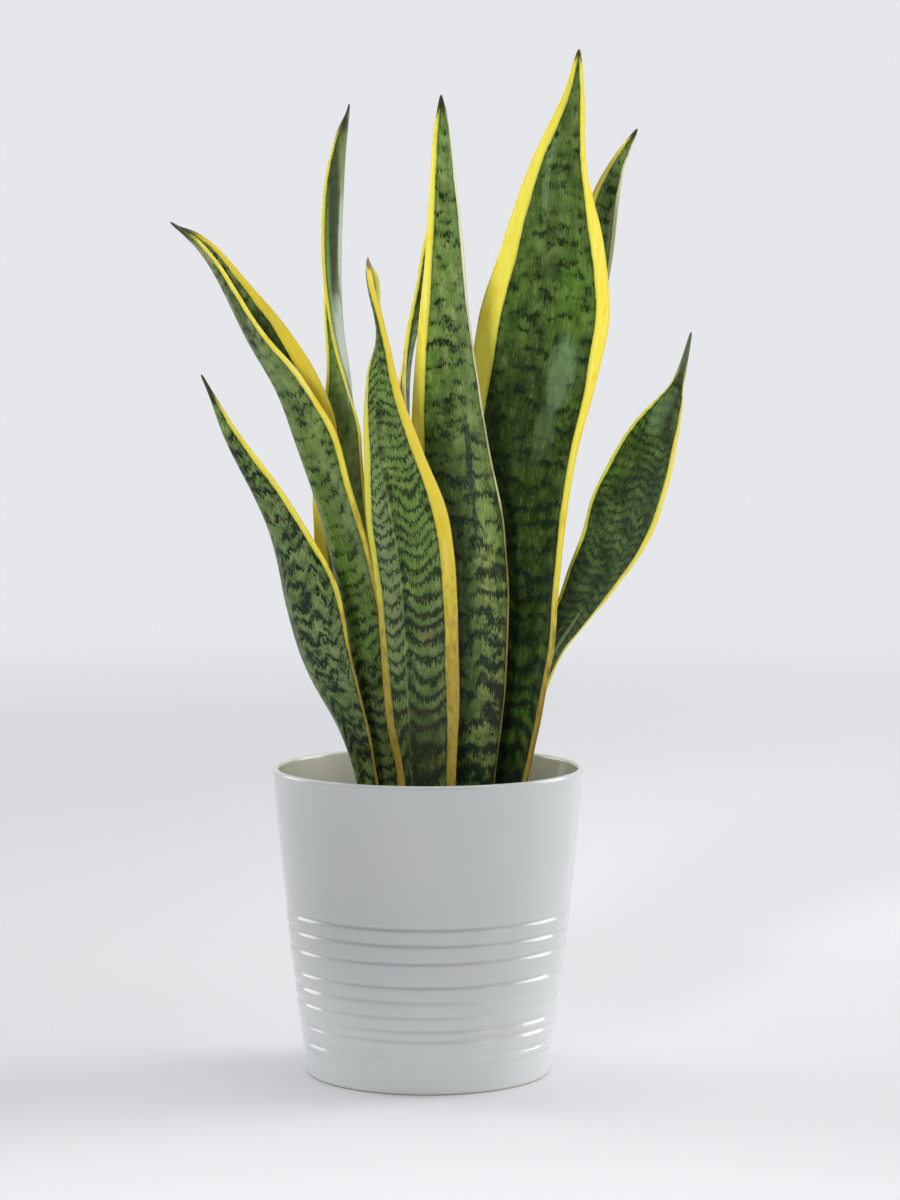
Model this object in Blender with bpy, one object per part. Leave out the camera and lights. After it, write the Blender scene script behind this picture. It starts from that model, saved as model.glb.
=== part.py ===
"""Snake plant with sword-shaped, yellow-margined leaves in a ribbed ceramic pot.

Metres, +Z up. The origin is the centre of the pot's flat underside. The plant is seen from
the front along +Y, with +X to the right. Named sizes are in millimetres and degrees.
"""

from collections import namedtuple
from math import cos, pi, sin

import bmesh
import bpy
import numpy as np

MM = 0.001
GAP = 0.35

# Pot
POT_HEIGHT = 188.0
BASE_RADIUS = 74.5
RIM_RADIUS = 95.3
BELLY = 0.00013
WALL = 3.7
FLOOR = 8.0
FOOT_ROUND = 2.5
INNER_ROUND = 7.0
SEGMENTS = 48
LIP_STEPS = 6
CORNER_STEPS = 3
PLAIN_WALL_RING = 145.0
INNER_WALL_RINGS = (60.0, 110.0)

# Grooves round the pot's lower half: height, half width, depth
GROOVES = [
    (16.8, 2.4, 0.6),
    (22.9, 2.4, 0.6),
    (33.5, 2.2, 0.7),
    (40.2, 2.2, 0.7),
    (48.2, 2.6, 0.7),
    (57.6, 2.8, 0.7),
    (66.8, 1.5, 1.0),
    (80.8, 1.5, 1.0),
    (91.7, 1.5, 1.0),
    (101.9, 1.5, 1.0),
]

# Soil
SOIL_EDGE = 155.0
SOIL_DOME = 3.0
SOIL_RINGS = (0.75, 0.45, 0.0)

# Leaves
LEAF_RINGS = 32
LEAF_COLUMNS = 7
SECTION_STEPS = 8
HOLE_RINGS = 6
HOLE_REACH = 12.0
EDGE_THICKNESS = 1.0
BLADE_THICKNESS = 2.8
BASE_THICKNESS = 4.6
THICK_BASE_SHARE = 0.3
NEEDLE_THICKNESS = 0.7
THICKNESS_PER_WIDTH = 0.18
NEEDLE_WIDTH = 1.3
FOLD_FADE = (2.5, 13.0)
TIP_CROWDING = 1.25

# A leaf is lofted through stations up its length. A station gives the height and place of
# the leaf's middle line, the width of the blade laid flat, the direction its hollow side
# faces (0 to the front, 90 to the right, 180 to the back) and the angle that the blade is
# folded through from edge to edge. Crease is how sharply the fold sits at the middle line.
Station = namedtuple("Station", "z x y width facing fold")
Leaf = namedtuple("Leaf", "name crease stations")

LEAVES = [
    Leaf("leaf_front", 1.0, [
        Station(134, 0, -26, 32, 180, 72),
        Station(184, -1, -28, 38, 180, 66),
        Station(223, -3, -31, 47, 180, 62),
        Station(266, -5, -35, 50, 180, 58),
        Station(332, -11, -42, 52, 180, 56),
        Station(381, -21, -48, 37, 178, 60),
        Station(427, -28, -52, 20, 165, 75),
        Station(457, -29, -54, 11, 110, 110),
        Station(482, -34, -55, 16, 75, 120),
        Station(497, -35, -55, 1.6, 75, 120),
    ]),
    Leaf("leaf_short_left", 1.5, [
        Station(134, -31, -19, 16, 150, 90),
        Station(182, -39, -22, 18, 148, 95),
        Station(214, -49, -25, 28, 145, 100),
        Station(242, -63, -29, 44, 142, 105),
        Station(291, -78, -36, 55, 140, 105),
        Station(334, -90, -41, 36, 138, 105),
        Station(367, -106, -46, 25, 135, 105),
        Station(397, -121, -49, 13, 130, 110),
        Station(420, -130, -50, 4.2, 125, 120),
        Station(428, -134, -50, 1.6, 125, 120),
    ]),
    Leaf("leaf_long_left", 3.0, [
        Station(134, -24, -6, 20, 150, 80),
        Station(180, -31, -7, 29, 145, 85),
        Station(236, -41, -9, 45, 138, 95),
        Station(300, -53, -12, 47, 125, 110),
        Station(347, -65, -14, 50, 110, 120),
        Station(390, -80, -14, 64, 88, 140),
        Station(418, -90, -14, 56, 74, 140),
        Station(445, -105, -13, 50, 66, 125),
        Station(481, -123, -12, 28, 62, 125),
        Station(505, -139, -10, 15, 60, 130),
        Station(519, -155, -10, 1.4, 60, 140),
    ]),
    Leaf("leaf_twisted", 2.5, [
        Station(134, -30, 21, 18, 10, 80),
        Station(176, -34, 23, 20, 10, 80),
        Station(232, -40, 27, 29, 10, 75),
        Station(287, -49, 33, 39, 5, 70),
        Station(337, -54, 38, 39, 0, 70),
        Station(386, -53, 42, 33, -15, 70),
        Station(419, -50, 45, 30, -55, 105),
        Station(448, -53, 47, 26, -72, 120),
        Station(504, -55, 52, 29, -95, 130),
        Station(537, -54, 55, 27, -100, 130),
        Station(571, -52, 57, 15, -105, 120),
        Station(594, -49, 58, 1.4, -105, 130),
    ]),
    Leaf("leaf_tall_middle", 0.8, [
        Station(134, 24, -4, 30, 190, 76),
        Station(180, 26, -5, 36, 190, 70),
        Station(220, 26, -6, 47, 192, 66),
        Station(272, 25, -8, 57, 195, 62),
        Station(319, 22, -9, 62, 195, 60),
        Station(384, 15, -10, 51, 195, 58),
        Station(430, 12, -10, 41, 195, 58),
        Station(496, 11, -10, 26, 195, 62),
        Station(537, 10, -10, 19, 195, 70),
        Station(571, 9, -10, 12, 192, 90),
        Station(595, 8, -10, 1.4, 190, 120),
    ]),
    Leaf("leaf_broad", 0.8, [
        Station(134, 39, 16, 36, -20, 82),
        Station(177, 43, 18, 47, -20, 75),
        Station(217, 47, 21, 59, -22, 65),
        Station(266, 51, 25, 70, -24, 60),
        Station(313, 53, 28, 73, -22, 55),
        Station(368, 57, 32, 77, -20, 52),
        Station(417, 65, 36, 82, -15, 50),
        Station(454, 72, 39, 84, -12, 48),
        Station(505, 78, 43, 66, -8, 48),
        Station(554, 81, 46, 37, -5, 55),
        Station(589, 88, 49, 19, -3, 70),
        Station(608, 91, 50, 11, 0, 100),
        Station(627, 93, 50, 1.4, 0, 140),
    ]),
    Leaf("leaf_back_right", 1.0, [
        Station(134, 46, 44, 17, 20, 80),
        Station(173, 46, 47, 20, 20, 75),
        Station(229, 48, 54, 27, 20, 65),
        Station(298, 57, 64, 31, 18, 60),
        Station(372, 73, 75, 31, 15, 60),
        Station(443, 89, 84, 30, 12, 60),
        Station(501, 104, 91, 25, 10, 60),
        Station(536, 111, 95, 19, 10, 70),
        Station(556, 118, 98, 12, 10, 90),
        Station(581, 132, 101, 1.4, 10, 120),
    ]),
    Leaf("leaf_back_middle", 1.5, [
        Station(134, -9, 42, 16, 0, 80),
        Station(174, -10, 44, 19, 0, 75),
        Station(229, -14, 52, 25, -5, 70),
        Station(285, -16, 60, 29, -20, 65),
        Station(348, -16, 68, 29, -45, 70),
        Station(398, -14, 74, 25, -70, 80),
        Station(440, -11, 79, 18, -95, 90),
        Station(473, -4, 84, 13, -130, 90),
        Station(502, 1, 88, 12, -140, 90),
        Station(534, 5, 92, 1.4, -140, 120),
    ]),
    Leaf("leaf_short_right", 0.8, [
        Station(134, 53, 28, 16, 195, 80),
        Station(176, 55, 29, 19, 195, 75),
        Station(214, 60, 31, 19, 195, 65),
        Station(258, 77, 33, 20, 195, 60),
        Station(281, 92, 33, 28, 197, 55),
        Station(300, 103, 32, 37, 197, 52),
        Station(322, 115, 31, 44, 197, 50),
        Station(342, 123, 29, 49, 196, 50),
        Station(367, 132, 27, 44, 195, 52),
        Station(391, 141, 25, 33, 194, 56),
        Station(409, 149, 23, 19, 192, 70),
        Station(424, 154, 21, 7.5, 190, 100),
        Station(453, 161, 20, 1.4, 190, 120),
    ]),
]

COLOURS = {
    "glaze": ((0.80, 0.81, 0.82), 0.12),
    "potting_soil": ((0.055, 0.038, 0.027), 0.95),
    "leaf": ((0.060, 0.120, 0.035), 0.38),
}


def clear_scene():
    """Remove whatever objects the scene opens with."""
    for obj in list(bpy.data.objects):
        bpy.data.objects.remove(obj, do_unlink=True)


def finish_material(slot):
    """One Principled material for a sub-part."""
    colour, roughness = COLOURS[slot]
    mat = bpy.data.materials.new(slot)
    mat.use_nodes = True
    shader = mat.node_tree.nodes["Principled BSDF"]
    shader.inputs["Base Color"].default_value = (*colour, 1.0)
    shader.inputs["Roughness"].default_value = roughness
    shader.inputs["Metallic"].default_value = 0.0
    return mat


def add_object(name, mesh, mat, collection=None, place=(0.0, 0.0, 0.0), parent=None):
    """Name a mesh's object, give it its material and stand it in its place."""
    mesh.materials.append(mat)
    mesh.shade_smooth()
    mesh.set_sharp_from_angle(angle=pi / 4)
    obj = bpy.data.objects.new(name, mesh)
    (collection or bpy.context.scene.collection).objects.link(obj)
    obj.location = place
    obj.parent = parent
    return obj


def outer_radius(z):
    """Radius of the pot's outside at a height: a cone that swells a little, as a parabola."""
    flare = (RIM_RADIUS - BASE_RADIUS) / POT_HEIGHT + BELLY * POT_HEIGHT
    return BASE_RADIUS + flare * z - BELLY * z * z


def arc(centre, radius, start, end, steps):
    """Points along an arc in the half section, with angles from the outward direction."""
    angles = [start + (end - start) * k / steps for k in range(steps + 1)]
    return [(centre[0] + radius * cos(a), centre[1] + radius * sin(a)) for a in angles]


def inside_corner(clearance):
    """Rounded corner between the pot's floor and inner wall, less a clearance."""
    height = FLOOR + INNER_ROUND
    centre = (outer_radius(height) - WALL - INNER_ROUND, height)
    return arc(centre, INNER_ROUND - clearance, -pi / 2, 0.0, CORNER_STEPS)


def pot_outline():
    """Half section of the pot: underside, ribbed wall, rounded lip, inner wall, floor."""
    points = [(0.0, 0.0)]
    foot = (outer_radius(FOOT_ROUND) - FOOT_ROUND, FOOT_ROUND)
    points += arc(foot, FOOT_ROUND, -pi / 2, 0.0, CORNER_STEPS)
    for z, half_width, depth in GROOVES:
        points.append((outer_radius(z - half_width), z - half_width))
        points.append((outer_radius(z) - depth, z))
        points.append((outer_radius(z + half_width), z + half_width))
    points.append((outer_radius(PLAIN_WALL_RING), PLAIN_WALL_RING))
    lip_height = POT_HEIGHT - WALL / 2
    lip = (outer_radius(lip_height) - WALL / 2, lip_height)
    points += arc(lip, WALL / 2, 0.0, pi, LIP_STEPS)
    points += [(outer_radius(z) - WALL, z) for z in reversed(INNER_WALL_RINGS)]
    points += reversed(inside_corner(0.0))
    points.append((0.0, FLOOR))
    return points


def soil_outline():
    """Half section of the soil: it fills the pot and its top is a low dome."""
    points = [(0.0, FLOOR + GAP)]
    points += inside_corner(GAP)
    points += [(outer_radius(z) - WALL - GAP, z) for z in (*INNER_WALL_RINGS, SOIL_EDGE)]
    edge = points[-1][0]
    for share in SOIL_RINGS:
        points.append((edge * share, SOIL_EDGE + SOIL_DOME * (1 - share * share)))
    return points


def turned_mesh(name, outline):
    """Spin a half section once round the upright axis and close it at the poles."""
    bm = bmesh.new()
    verts = [bm.verts.new((r * MM, 0.0, z * MM)) for r, z in outline]
    edges = [bm.edges.new(pair) for pair in zip(verts, verts[1:])]
    bmesh.ops.spin(bm, geom=verts + edges, cent=(0, 0, 0), axis=(0, 0, 1), angle=2 * pi,
                   steps=SEGMENTS, use_merge=True, use_duplicate=False)
    bmesh.ops.remove_doubles(bm, verts=bm.verts, dist=1e-6)
    bmesh.ops.recalc_face_normals(bm, faces=bm.faces)
    mesh = bpy.data.meshes.new(name)
    bm.to_mesh(mesh)
    bm.free()
    return mesh


def smooth_curve(knots, values, at):
    """Natural cubic spline: solve for the second derivatives, then evaluate each piece."""
    count = len(knots)
    step = np.diff(knots)
    slope = np.diff(values) / step
    inner = np.arange(1, count - 1)
    system = np.eye(count)
    system[inner, inner - 1] = step[:-1]
    system[inner, inner] = 2 * (step[:-1] + step[1:])
    system[inner, inner + 1] = step[1:]
    right = np.zeros(count)
    right[inner] = 6 * np.diff(slope)
    bend = np.linalg.solve(system, right)
    k = np.clip(np.searchsorted(knots, at, side="right") - 1, 0, count - 2)
    s = at - knots[k]
    return (values[k] + s * (slope[k] - step[k] * (2 * bend[k] + bend[k + 1]) / 6)
            + s**2 * bend[k] / 2 + s**3 * (bend[k + 1] - bend[k]) / (6 * step[k]))


def steady_curve(knots, values, at):
    """Cubic through the stations that never swings past them: slopes are harmonic means."""
    step = np.diff(knots)
    slope = np.diff(values) / step
    before = 2 * step[1:] + step[:-1]
    after = step[1:] + 2 * step[:-1]
    same_way = slope[:-1] * slope[1:] > 0
    safe = np.where(same_way, slope[:-1] * slope[1:], 1.0)
    middle = (before + after) * safe / (before * slope[1:] + after * slope[:-1] + (~same_way))
    tangent = np.concatenate([slope[:1], np.where(same_way, middle, 0.0), slope[-1:]])
    k = np.clip(np.searchsorted(knots, at, side="right") - 1, 0, len(knots) - 2)
    s = np.clip((at - knots[k]) / step[k], 0.0, 1.0)
    return ((1 + 2 * s) * (1 - s)**2 * values[k] + s * (1 - s)**2 * step[k] * tangent[k]
            + s**2 * (3 - 2 * s) * values[k + 1] + s**2 * (s - 1) * step[k] * tangent[k + 1])


def unit(vectors):
    """Scale each row to length one."""
    return vectors / np.linalg.norm(vectors, axis=-1, keepdims=True)


def channel_section(fold, crease, columns):
    """Gutter-shaped sections of a blade one unit wide.

    The blade's direction turns from minus half to plus half the fold across the width, as a
    hyperbolic tangent, so a high crease keeps both wings flat and turns at the middle line.
    Summing its cosine and sine gives the place of each column.
    """
    fine = SECTION_STEPS
    u = np.linspace(-1, 1, (columns - 1) * fine + 1)
    angle = fold[:, None] / 2 * np.tanh(crease * u) / np.tanh(crease)
    du = u[1] - u[0]
    across = np.zeros_like(angle)
    rise = np.zeros_like(angle)
    across[:, 1:] = np.cumsum((np.cos(angle[:, 1:]) + np.cos(angle[:, :-1])) / 2, axis=1) * du
    rise[:, 1:] = np.cumsum((np.sin(angle[:, 1:]) + np.sin(angle[:, :-1])) / 2, axis=1) * du
    middle = len(u) // 2
    across -= across[:, middle:middle + 1]
    rise -= rise[:, middle:middle + 1]
    return u[::fine], across[:, ::fine] / 2, rise[:, ::fine] / 2, angle[:, ::fine]


def leaf_length(leaf):
    """Length of the middle line, from station to station."""
    line = np.array([(s.x, s.y, s.z) for s in leaf.stations], dtype=float)
    return np.linalg.norm(np.diff(line, axis=0), axis=1).sum()


def leaf_origin(leaf):
    """The foot of the leaf's middle line, where its object stands."""
    foot = leaf.stations[0]
    return np.array([foot.x, foot.y, foot.z], dtype=float)


def leaf_course(leaf, at):
    """How a leaf runs at distances up its middle line: places, width, fold and directions.

    The middle line is a smooth curve through the stations. The side direction is the level
    direction square to the facing, tilted until it is square to the line too, and the front
    direction is square to both. The fold opens out where the blade narrows to its needle.
    """
    rows = np.array(leaf.stations, dtype=float)
    line = rows[:, [1, 2, 0]]
    knots = np.concatenate([[0.0], np.cumsum(np.linalg.norm(np.diff(line, axis=0), axis=1))])
    place = np.stack([smooth_curve(knots, line[:, k], at) for k in range(3)], axis=1)
    ahead = np.stack([smooth_curve(knots, line[:, k], at + 0.5) for k in range(3)], axis=1)
    along = unit(ahead - place)
    width = np.maximum(steady_curve(knots, rows[:, 3], at), NEEDLE_WIDTH)
    facing = np.radians(steady_curve(knots, rows[:, 4], at))
    fold = np.radians(steady_curve(knots, rows[:, 5], at))
    fade = np.clip((width - FOLD_FADE[0]) / (FOLD_FADE[1] - FOLD_FADE[0]), 0, 1)
    fold = fold * fade * fade * (3 - 2 * fade)
    level = np.stack([np.cos(facing), np.sin(facing), np.zeros_like(facing)], axis=1)
    side = unit(level - (level * along).sum(axis=1, keepdims=True) * along)
    return place, width, fold, side, np.cross(side, along)


def half_thickness(share, width, u):
    """Half the blade's thickness at shares of its length, by an ellipse across the blade.

    It grows with the width up to a limit, which is greater near the foot, and falls to the
    edge's own thickness at both sides.
    """
    base = np.clip(1 - share / THICK_BASE_SHARE, 0, 1)
    thickest = BLADE_THICKNESS + (BASE_THICKNESS - BLADE_THICKNESS) * base
    middle = np.minimum(thickest, NEEDLE_THICKNESS + THICKNESS_PER_WIDTH * width) / 2
    edge = np.minimum(middle, EDGE_THICKNESS / 2)
    return edge[:, None] + (middle - edge)[:, None] * np.sqrt(1 - u * u)


def leaf_faces(leaf, at, extra=0.0):
    """Points of a leaf's hollow and outer faces at distances up its middle line.

    The channel section stands square to the middle line at each distance, and the two faces
    lie half a thickness to either side of it. Extra is added all round.
    """
    place, width, fold, side, front = leaf_course(leaf, at)
    side, front = side[:, None], front[:, None]
    u, across, rise, angle = channel_section(fold, leaf.crease, LEAF_COLUMNS)
    half = half_thickness(at / leaf_length(leaf), width, u) + extra
    broad = (width + 2 * extra)[:, None, None]
    sheet = place[:, None] + broad * (across[..., None] * side + rise[..., None] * front)
    normal = np.cos(angle)[..., None] * front - np.sin(angle)[..., None] * side
    return sheet + normal * half[..., None], sheet - normal * half[..., None]


def blade_mesh(name, hollow_face, outer_face, origin):
    """Close the two faces of a blade with edges and ends.

    Each ring runs across the hollow face and back across the outer one. Both faces are cut
    into triangles along the same diagonals, so a twisted blade's faces never cross.
    """
    rings, columns = hollow_face.shape[:2]
    points = np.concatenate([hollow_face, outer_face[:, ::-1]], axis=1) - origin
    around = 2 * columns
    faces = []
    for ring in range(rings - 1):
        for k in range(around):
            a = ring * around + k
            b = ring * around + (k + 1) % around
            c, d = b + around, a + around
            if k < columns:
                faces += [(a, b, c), (a, c, d)]
            else:
                faces += [(a, b, d), (b, c, d)]
    last = (rings - 1) * around
    for k in range(columns - 1):
        far = around - 1 - k
        faces += [(k, far, far - 1), (k, far - 1, k + 1)]
        faces += [(last + k, last + far - 1, last + far), (last + k, last + k + 1, last + far - 1)]
    mesh = bpy.data.meshes.new(name)
    mesh.from_pydata((points.reshape(-1, 3) * MM).tolist(), [], faces)
    bm = bmesh.new()
    bm.from_mesh(mesh)
    bmesh.ops.recalc_face_normals(bm, faces=bm.faces)
    bm.to_mesh(mesh)
    bm.free()
    return mesh


def add_leaf(leaf, mat, parent):
    """One leaf from its foot in the soil to its needle tip, with closer rings near the tip."""
    share = np.linspace(0, 1, LEAF_RINGS)
    at = leaf_length(leaf) * (1 - (1 - share)**TIP_CROWDING)
    origin = leaf_origin(leaf)
    mesh = blade_mesh(leaf.name, *leaf_faces(leaf, at), origin)
    return add_object(leaf.name, mesh, mat, place=origin * MM, parent=parent)


def add_hole_cutter(leaf, mat, collection):
    """The foot of a leaf made a gap larger all round: it cuts the leaf's hole in the soil."""
    rise = SOIL_EDGE + SOIL_DOME - leaf.stations[0].z
    at = np.linspace(-GAP, rise + HOLE_REACH, HOLE_RINGS)
    origin = leaf_origin(leaf)
    mesh = blade_mesh(leaf.name + "_hole", *leaf_faces(leaf, at, GAP), origin)
    cutter = add_object(leaf.name + "_hole", mesh, mat, collection, origin * MM)
    cutter.hide_render = True
    cutter.display_type = "WIRE"


def add_pot(mat):
    """The glazed pot, turned in one piece."""
    return add_object("pot", turned_mesh("pot", pot_outline()), mat)


def add_soil(mat, holes, parent):
    """The soil with a plain hole for each leaf's foot."""
    soil = add_object("soil", turned_mesh("soil", soil_outline()), mat, parent=parent)
    cut = soil.modifiers.new("leaf holes", "BOOLEAN")
    cut.operation = "DIFFERENCE"
    cut.operand_type = "COLLECTION"
    cut.collection = holes
    cut.solver = "EXACT"
    return soil


def main():
    clear_scene()
    glaze = finish_material("glaze")
    potting_soil = finish_material("potting_soil")
    leaf_green = finish_material("leaf")
    pot = add_pot(glaze)
    holes = bpy.data.collections.new("leaf_holes")
    bpy.context.scene.collection.children.link(holes)
    for leaf in LEAVES:
        add_hole_cutter(leaf, potting_soil, holes)
    add_soil(potting_soil, holes, pot)
    for leaf in LEAVES:
        add_leaf(leaf, leaf_green, pot)


main()
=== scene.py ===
"""A potted snake plant with yellow-margined sword leaves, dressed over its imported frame.

The file is laid out as a Blender add-on and run as a script. Every piece is a surface worked
out with numpy: the leaves are gutter-shaped blades carried along smooth middle lines, the pot
is a turned profile with grooves, and the soil is a field of heights with crumbs strewn on it.
Sizes are in millimetres until a mesh is made, and all meshes stand in the frame's metres.
"""

from collections import namedtuple
from math import cos, pi, radians

import bmesh
import bpy
import numpy as np
from bpy.props import FloatProperty, FloatVectorProperty, IntProperty, PointerProperty
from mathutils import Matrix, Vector


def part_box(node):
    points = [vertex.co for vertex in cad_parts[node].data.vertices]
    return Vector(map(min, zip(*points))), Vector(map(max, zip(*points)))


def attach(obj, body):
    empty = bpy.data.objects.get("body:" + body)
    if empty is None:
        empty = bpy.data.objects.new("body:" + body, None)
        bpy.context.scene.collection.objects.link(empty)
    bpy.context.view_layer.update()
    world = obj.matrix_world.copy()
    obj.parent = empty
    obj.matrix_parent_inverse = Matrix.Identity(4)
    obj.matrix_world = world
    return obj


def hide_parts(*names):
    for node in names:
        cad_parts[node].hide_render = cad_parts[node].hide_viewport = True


bl_info = {
    "name": "Potted Snake Plant",
    "version": (1, 0, 0),
    "blender": (4, 5, 0),
    "location": "View3D > Sidebar > Plant",
    "description": "Builds a snake plant in a ribbed ceramic pot, with its studio",
    "category": "Add Mesh",
}

MM = 0.001
BODY = "root"

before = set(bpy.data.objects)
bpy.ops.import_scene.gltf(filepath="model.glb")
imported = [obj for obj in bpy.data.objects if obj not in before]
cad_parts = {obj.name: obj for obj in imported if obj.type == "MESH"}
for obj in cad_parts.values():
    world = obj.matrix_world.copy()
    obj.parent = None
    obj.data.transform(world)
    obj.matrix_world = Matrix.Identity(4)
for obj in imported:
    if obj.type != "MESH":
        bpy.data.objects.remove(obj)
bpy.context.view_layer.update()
POT_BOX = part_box("pot")
POT_HEIGHT = (POT_BOX[1].z - POT_BOX[0].z) / MM
RIM_RADIUS = (POT_BOX[1].x - POT_BOX[0].x) / 2 / MM
SOIL_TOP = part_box("soil")[1].z / MM


def tint(red, green, blue):
    """A colour given by screen values from 0 to 255, as the linear values of shaders."""
    shares = np.array([red, green, blue]) / 255
    return tuple(np.where(shares <= 0.04045, shares / 12.92, ((shares + 0.055) / 1.055) ** 2.4))


# Colours of the leaves' points
BROWN_TIP = (128, 100, 62)
GREEN_TIP = (34, 46, 26)
AWL_TIP = (66, 50, 30)
GREY_TIP = (92, 104, 78)

# Colours of the patches
# Painted sheen: a pale grey-green shine of the light on the waxy blade
PAINTED_SHEEN = (140, 172, 126)
SAGE = (146, 164, 112)
STRAW = (150, 168, 92)
LEAF_GREEN = (96, 140, 40)
DEEP_GREEN = (38, 50, 20)
TEAL = (18, 40, 34)
RUST = (146, 106, 76)
DRY = (206, 180, 158)
CHARCOAL = (52, 60, 52)
UMBER = (58, 58, 38)
# Painted reflection: a grey-white shine of the light on a blade turned towards it
PAINTED_REFLECTION = (198, 208, 198)

# Colours of a margin that isn't plain yellow
BLEACHED = (226, 228, 196)
LIME = (196, 202, 84)
HONEY = (208, 178, 44)
SAME = (0.0, LIME)

# The leaves. A leaf is lofted through stations up its length. A station gives the height and
# place of the leaf's middle line, the width of the blade laid flat, the direction its hollow
# side faces (0 to the front, 90 to the right, 180 to the back), the angle that the blade is
# folded through from edge to edge, and the widths of the yellow margins at the left and the
# right edge, as seen from the hollow side.
Station = namedtuple("Station", "z x y width facing fold left right")

# How a leaf is marked, in millimetres and shares:
# spacing   distance from one dark cross band to the next, at the tip and at the foot
# dark      share of the blade that is dark, at the tip and at the foot
# arch      how far the bands sag, and how wide a sag is on the left and the right wing
# garland   how far the bands wander up and down, and how wide a wander is
# blotch    share of loose blotches against even bands, at the tip and at the foot
# contrast  how dark the bands are
# pale      share of pale patches
# sage      how far the green turns grey, at the tip and at the foot
# deep      share by which the ground darkens, at the tip and at the foot
# dull      height under which the yellow margins turn olive
# tip       colour of the point, and how far down it reaches
# seed      where the markings fall
# sides     how far the left and the right margin take another colour, and that colour
# keel      place across of the midrib, and the height of its ridge
# A leaf that gives no sides has plain margins, and one that gives no keel has no ridge.
Markings = namedtuple(
    "Markings",
    "spacing dark arch garland blotch contrast pale sage deep dull tip seed sides keel",
    defaults=[(SAME, SAME), (0.0, 0.0)])

# A patch of another colour on a leaf, some of them painted sheen, highlight or shade: its place
# across the blade and its height, half its width and height, how much of the colour shows, how
# ragged it is, the colour, and whether it lies over the dark bands, as painted sheen does
Patch = namedtuple("Patch", "across z wide tall share ragged colour over", defaults=[False])

Leaf = namedtuple("Leaf", "name crease stations markings patches")

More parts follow.
